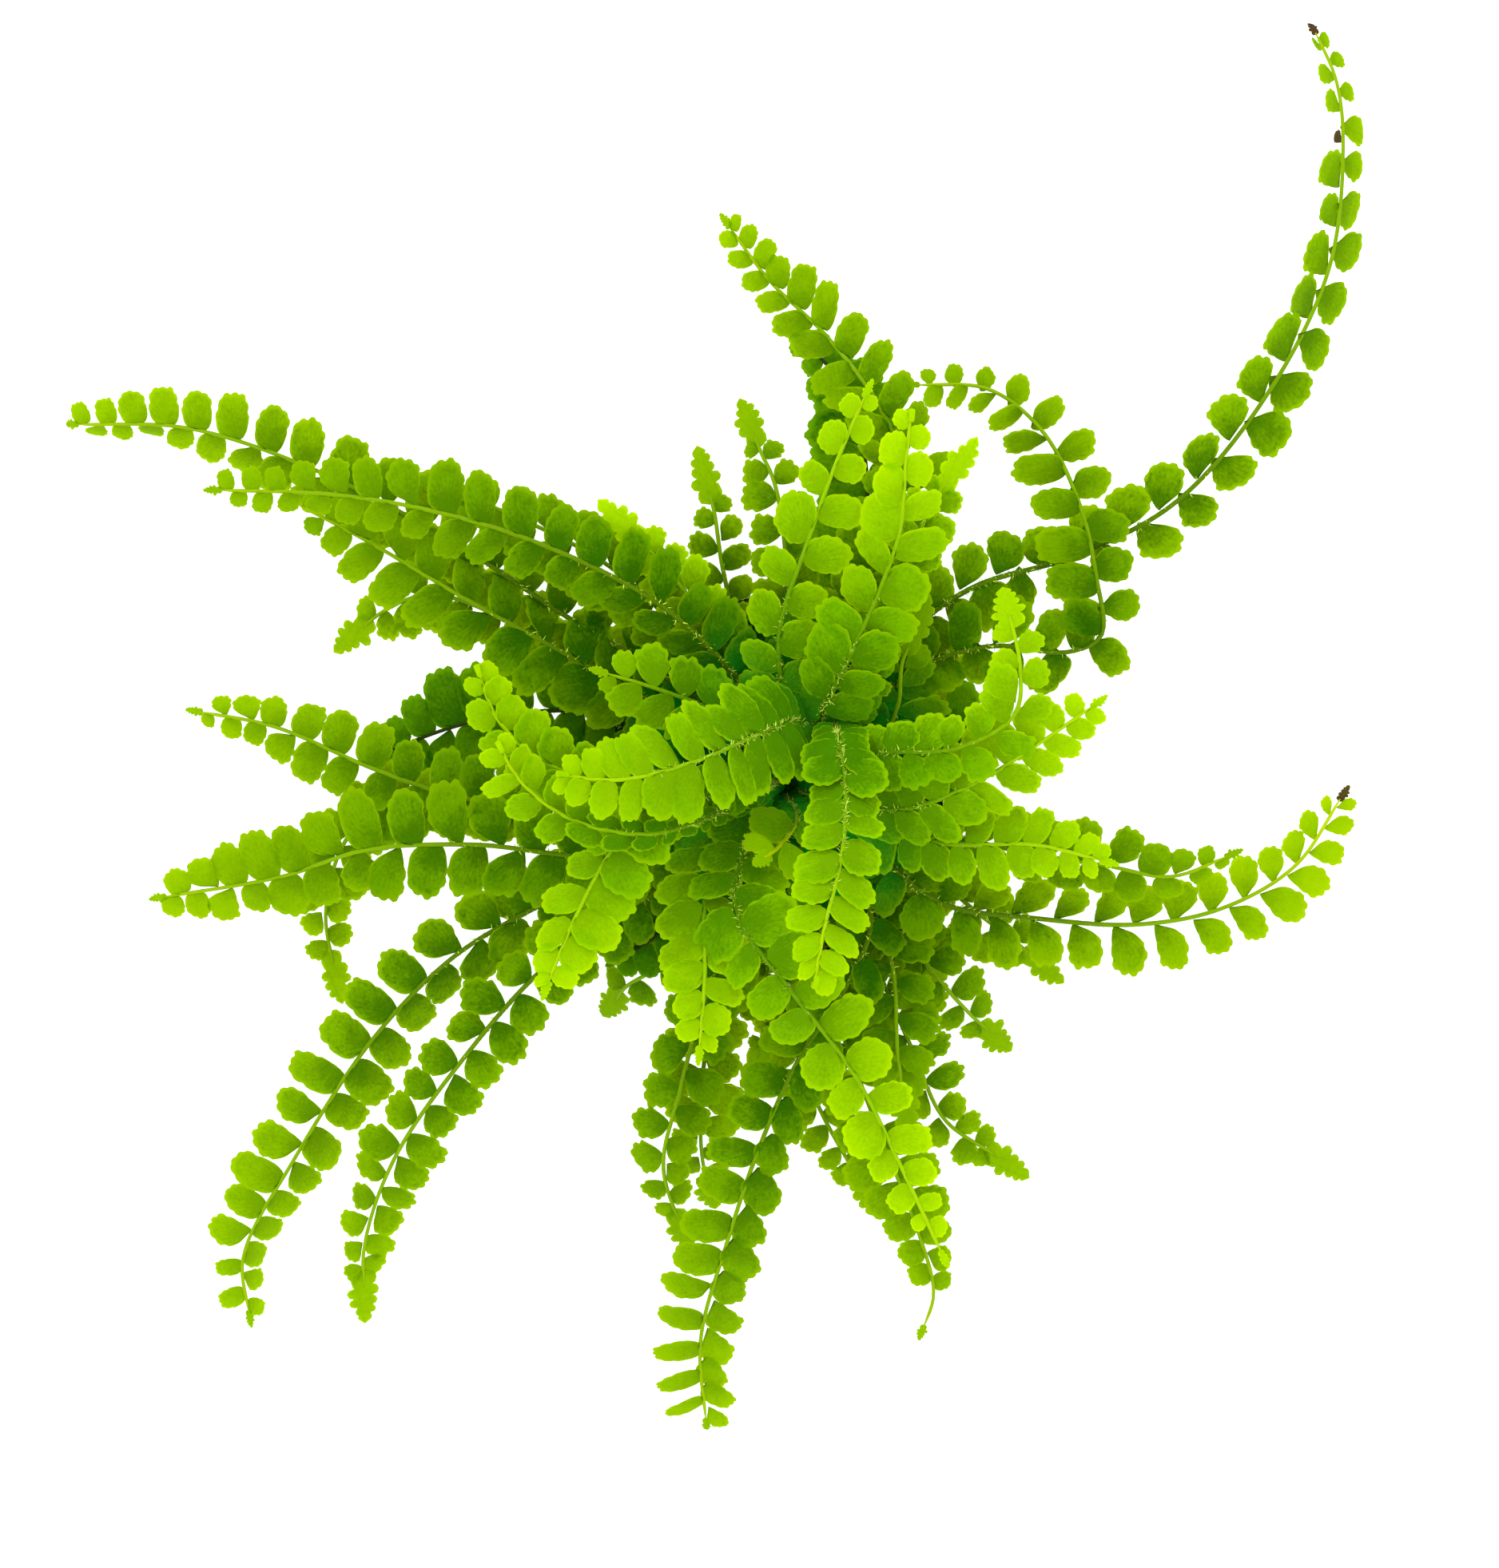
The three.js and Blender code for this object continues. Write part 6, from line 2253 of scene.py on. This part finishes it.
@dataclass
class SoilBed:
    """The body of soil with its crumbs. Sizes are in millimetres, and a crumb's in metres."""

    pot: NurseryPot
    top: float = SOIL_TOP
    gap: float = FIT_GAP
    rings: int = 26
    sides: int = 96
    swell: float = 1.1
    sunk: float = 0.9
    edge_sunk: float = 1.2
    crumbs_per_square_metre: float = 420000.0
    crumb: float = 0.0011
    seed: int = 7

    def bed(self) -> MeshSketch:
        """Build the body, flat below and uneven on top.

        Returns:
            The body.
        """
        low = self.pot.floor + self.gap
        side = self.pot.wall + self.gap
        rim = self.pot.radius(self.top) - side
        profile = [(0.0, low), (self.pot.radius(low) - side, low),
                   (self.pot.radius(26) - side, 26), (rim, self.top - self.edge_sunk)]
        level = self.top - self.sunk
        profile += [(rim * (1 - k / self.rings), level) for k in range(1, self.rings)]
        profile.append((0.0, level))
        sketch = lathe(profile, self.sides)
        for index, (x, y, z) in enumerate(sketch.points):
            if z >= level * MM:
                place = Vector((x, y, 0)) / MM
                lumps = noise.noise(place * 0.13) + 0.6 * noise.noise(place * 0.45)
                fine = 0.45 * noise.noise(place * 1.3)
                edge = min(1.0, (rim - place.length) / 3)
                rise = self.swell * (0.1 + (lumps + fine) * 0.45) * edge
                sketch.points[index] = (x, y, z + rise * MM)
        return sketch

    def dressing(self) -> DressingTree:
        """Build the node tree that strews crumbs on the bed.

        Returns:
            The tree.
        """
        tree = DressingTree("soil_crumbs", {
            "Bed": "Geometry", "Finish": "Material", "Crumbs per square metre": "Float",
            "Crumb size": "Float", "Seed": "Int"})
        sheet, given = tree.sheet, tree.given
        _, _, up = sheet.parts(sheet.add("GeometryNodeInputNormal").out("Normal"))
        top = sheet.add("FunctionNodeCompare", {"data_type": "FLOAT",
                                                "operation": "GREATER_THAN"}, {0: up, 1: 0.5})
        spread = sheet.add("GeometryNodeDistributePointsOnFaces", None, {
            "Mesh": given.out("Bed"), "Selection": top.out("Result"),
            "Density": given.out("Crumbs per square metre"), "Seed": given.out("Seed")})
        ball = sheet.add("GeometryNodeMeshIcoSphere", None,
                         {"Radius": 1.0, "Subdivisions": 1}).out("Mesh")
        turn = sheet.random((0.0, 0.0, 0.0), (6.28, 6.28, 6.28), 1)
        shape = sheet.random((0.35, 0.3, 0.22), (1.5, 0.9, 0.7), 2)
        size = sheet.add("ShaderNodeVectorMath", {"operation": "SCALE"}, {
            0: shape, "Scale": given.out("Crumb size")}).out("Vector")
        tone = sheet.random(0.0, 1.0, 4)
        crumbs = sheet.add("GeometryNodeInstanceOnPoints", None, {
            "Points": spread.out("Points"), "Instance": ball, "Rotation": sheet.rotation(turn),
            "Scale": size})
        toned = sheet.store(crumbs.out("Instances"), "tone", "FLOAT", tone, domain="INSTANCE")
        real = sheet.add("GeometryNodeRealizeInstances", None,
                         {"Geometry": sheet.join(given.out("Bed"), toned)})
        done = sheet.add("GeometryNodeSetMaterial", None, {
            "Geometry": real.out("Geometry"), "Material": given.out("Finish")})
        sheet.add("NodeGroupOutput", None, {0: done.out("Geometry")})
        return tree

    def build(self, finish: bpy.types.Material) -> bpy.types.Object:
        """Build the soil.

        Args:
            finish: Its finish.

        Returns:
            The soil's piece.
        """
        bed = new_object("soil_bed", self.bed().mesh("soil_bed"))
        values = {"Finish": finish, "Crumbs per square metre": self.crumbs_per_square_metre,
                  "Crumb size": self.crumb, "Seed": self.seed}
        return self.dressing().grow(bed, values, "soil_surface")


# Studio

@dataclass(frozen=True)
class FloorFinish(Finish):
    """The finish of the pale floor, which glows a little."""

    name: str = "pale_floor"
    tone: float = 0.92
    glow: float = 0.3
    roughness: float = 0.9

    def shader(self, sheet: NodeSheet) -> Wire:
        """Draw the shader.

        Args:
            sheet: The sheet to draw on.

        Returns:
            The shader.
        """
        tone = (self.tone - 0.01) + sheet.noise(sheet.place(), 3.0) * 0.02
        colour = sheet.add("ShaderNodeCombineColor", None, {0: tone, 1: tone, 2: tone})
        return sheet.principled({
            "Base Color": colour.out("Color"), "Roughness": self.roughness,
            "Specular IOR Level": 0.0, "Emission Color": (1.0, 1.0, 1.0),
            "Emission Strength": self.glow})


@dataclass
class Studio:
    """The floor, the light and the camera. Sizes are in metres."""

    floor_size: float = 6.0
    floor_level: float = -0.0002
    sky_strength: float = 1.4
    key_power: float = 9.0
    key_size: float = 2.4
    key_place: tuple[float, float, float] = (-0.9, 0.8, 1.6)
    camera_height: float = 2.075
    camera_place: tuple[float, float] = (-0.00675, -0.001725)
    lens: float = 255.9

    def floor(self) -> None:
        """Lay the pale floor."""
        sketch = MeshSketch()
        half = self.floor_size / 2
        corners = [sketch.add((x, y, self.floor_level)) for x, y in
                   ((-half, -half), (half, -half), (half, half), (-half, half))]
        sketch.face(*corners)
        plane = new_object("studio_floor", sketch.mesh("studio_floor"))
        plane.data.materials.append(FloorFinish().build())
        plane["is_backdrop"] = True

    def light(self) -> None:
        """Set the sky and the soft lamp."""
        world = bpy.data.worlds.new("studio_sky")
        world.use_nodes = True
        sheet = NodeSheet(world.node_tree)
        sky = sheet.add("ShaderNodeBackground", None, {"Color": (1.0, 1.0, 1.0),
                                                       "Strength": self.sky_strength})
        sheet.add("ShaderNodeOutputWorld", None, {"Surface": sky.out("Background")})
        bpy.context.scene.world = world
        data = bpy.data.lights.new("soft_lamp", "AREA")
        data.energy = self.key_power
        data.size = self.key_size
        lamp = bpy.data.objects.new("soft_lamp", data)
        lamp.location = self.key_place
        lamp.rotation_euler = (-lamp.location).to_track_quat("-Z", "Y").to_euler()
        bpy.context.scene.collection.objects.link(lamp)

    def camera(self) -> None:
        """Set the camera, which looks straight down with +Y to the top."""
        data = bpy.data.cameras.new("photo_camera")
        data.sensor_fit = "HORIZONTAL"
        data.sensor_width = 36.0
        data.lens = self.lens
        data.clip_end = 20.0
        camera = bpy.data.objects.new("photo_camera", data)
        camera.location = (*self.camera_place, self.camera_height)
        bpy.context.scene.collection.objects.link(camera)
        bpy.context.scene.camera = camera

    def build(self) -> None:
        """Set up the studio."""
        self.floor()
        self.light()
        self.camera()
        bpy.context.scene.view_settings.view_transform = "Standard"


def plain(bounds: Any) -> list[list[float]]:
    """Turn a box into plain lists."""
    return [[float(value) for value in corner] for corner in bounds]


def hold_in(piece: bpy.types.Object, box: list[list[float]], margin: float = 0.0015) -> None:
    """Draw in, softly, what passes a box's sides or comes close to them.

    Args:
        piece: The piece.
        box: The lowest and the highest corner.
        margin: How close, in metres.
    """
    vertices = piece.data.vertices
    points = np.empty(3 * len(vertices))
    vertices.foreach_get("co", points)
    points = points.reshape(-1, 3)
    for sign, corner in zip((-1, 1), box):
        over = np.maximum(0.0, sign * (points - np.array(corner)) + margin)
        points += sign * (margin * (1 - np.exp(-over / margin)) - over)
    vertices.foreach_set("co", points.ravel())
    piece.data.update()


def dress_fronds(box: list[list[float]]) -> None:
    """Build every frond over its solid.

    Args:
        box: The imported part's box.
    """
    shelf = LeafShelf()
    tree = FrondTree()
    leaf = {look: finish.build() for look, finish in LEAF_FINISHES.items()}
    rib = {look: finish.build() for look, finish in RIB_FINISHES.items()}
    scale = ScaleFinish().build()
    layering = Layering()
    total = 0
    for index, row in enumerate(FRONDS):
        route = Route(row, index)
        layering.lay(route)
        finishes = {"Leaf finish": leaf[row.look], "Rib finish": rib[row.look],
                    "Scale finish": scale}
        piece = Frond(route, shelf).build(tree, finishes)
        hold_in(piece, box)
        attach(piece, "root")
        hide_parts(row.name)
        total += len(piece.data.polygons)
        LOG.info("%s: %d faces", piece.name, len(piece.data.polygons))
    shelf.clear()
    LOG.info("fronds: %d faces", total)


def dress_pot() -> None:
    """Build the pot and its soil over their solids."""
    pot = NurseryPot()
    for piece, node, slot in ((pot.build(PotFinish().build()), "pot", "pot_plastic"),
                              (SoilBed(pot).build(SoilFinish().build()), "soil",
                               "potting_soil")):
        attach(piece, "root")
        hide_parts(node)
        LOG.info("%s: %d faces", piece.name, len(piece.data.polygons))


def main() -> None:
    """Dress the part and set up the studio."""
    logging.basicConfig(level=logging.INFO, format="%(name)s: %(message)s")
    before = plain(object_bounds())
    Studio().build()
    dress_pot()
    dress_fronds(before)
    plain(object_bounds())


if __name__ == "__main__":
    main()
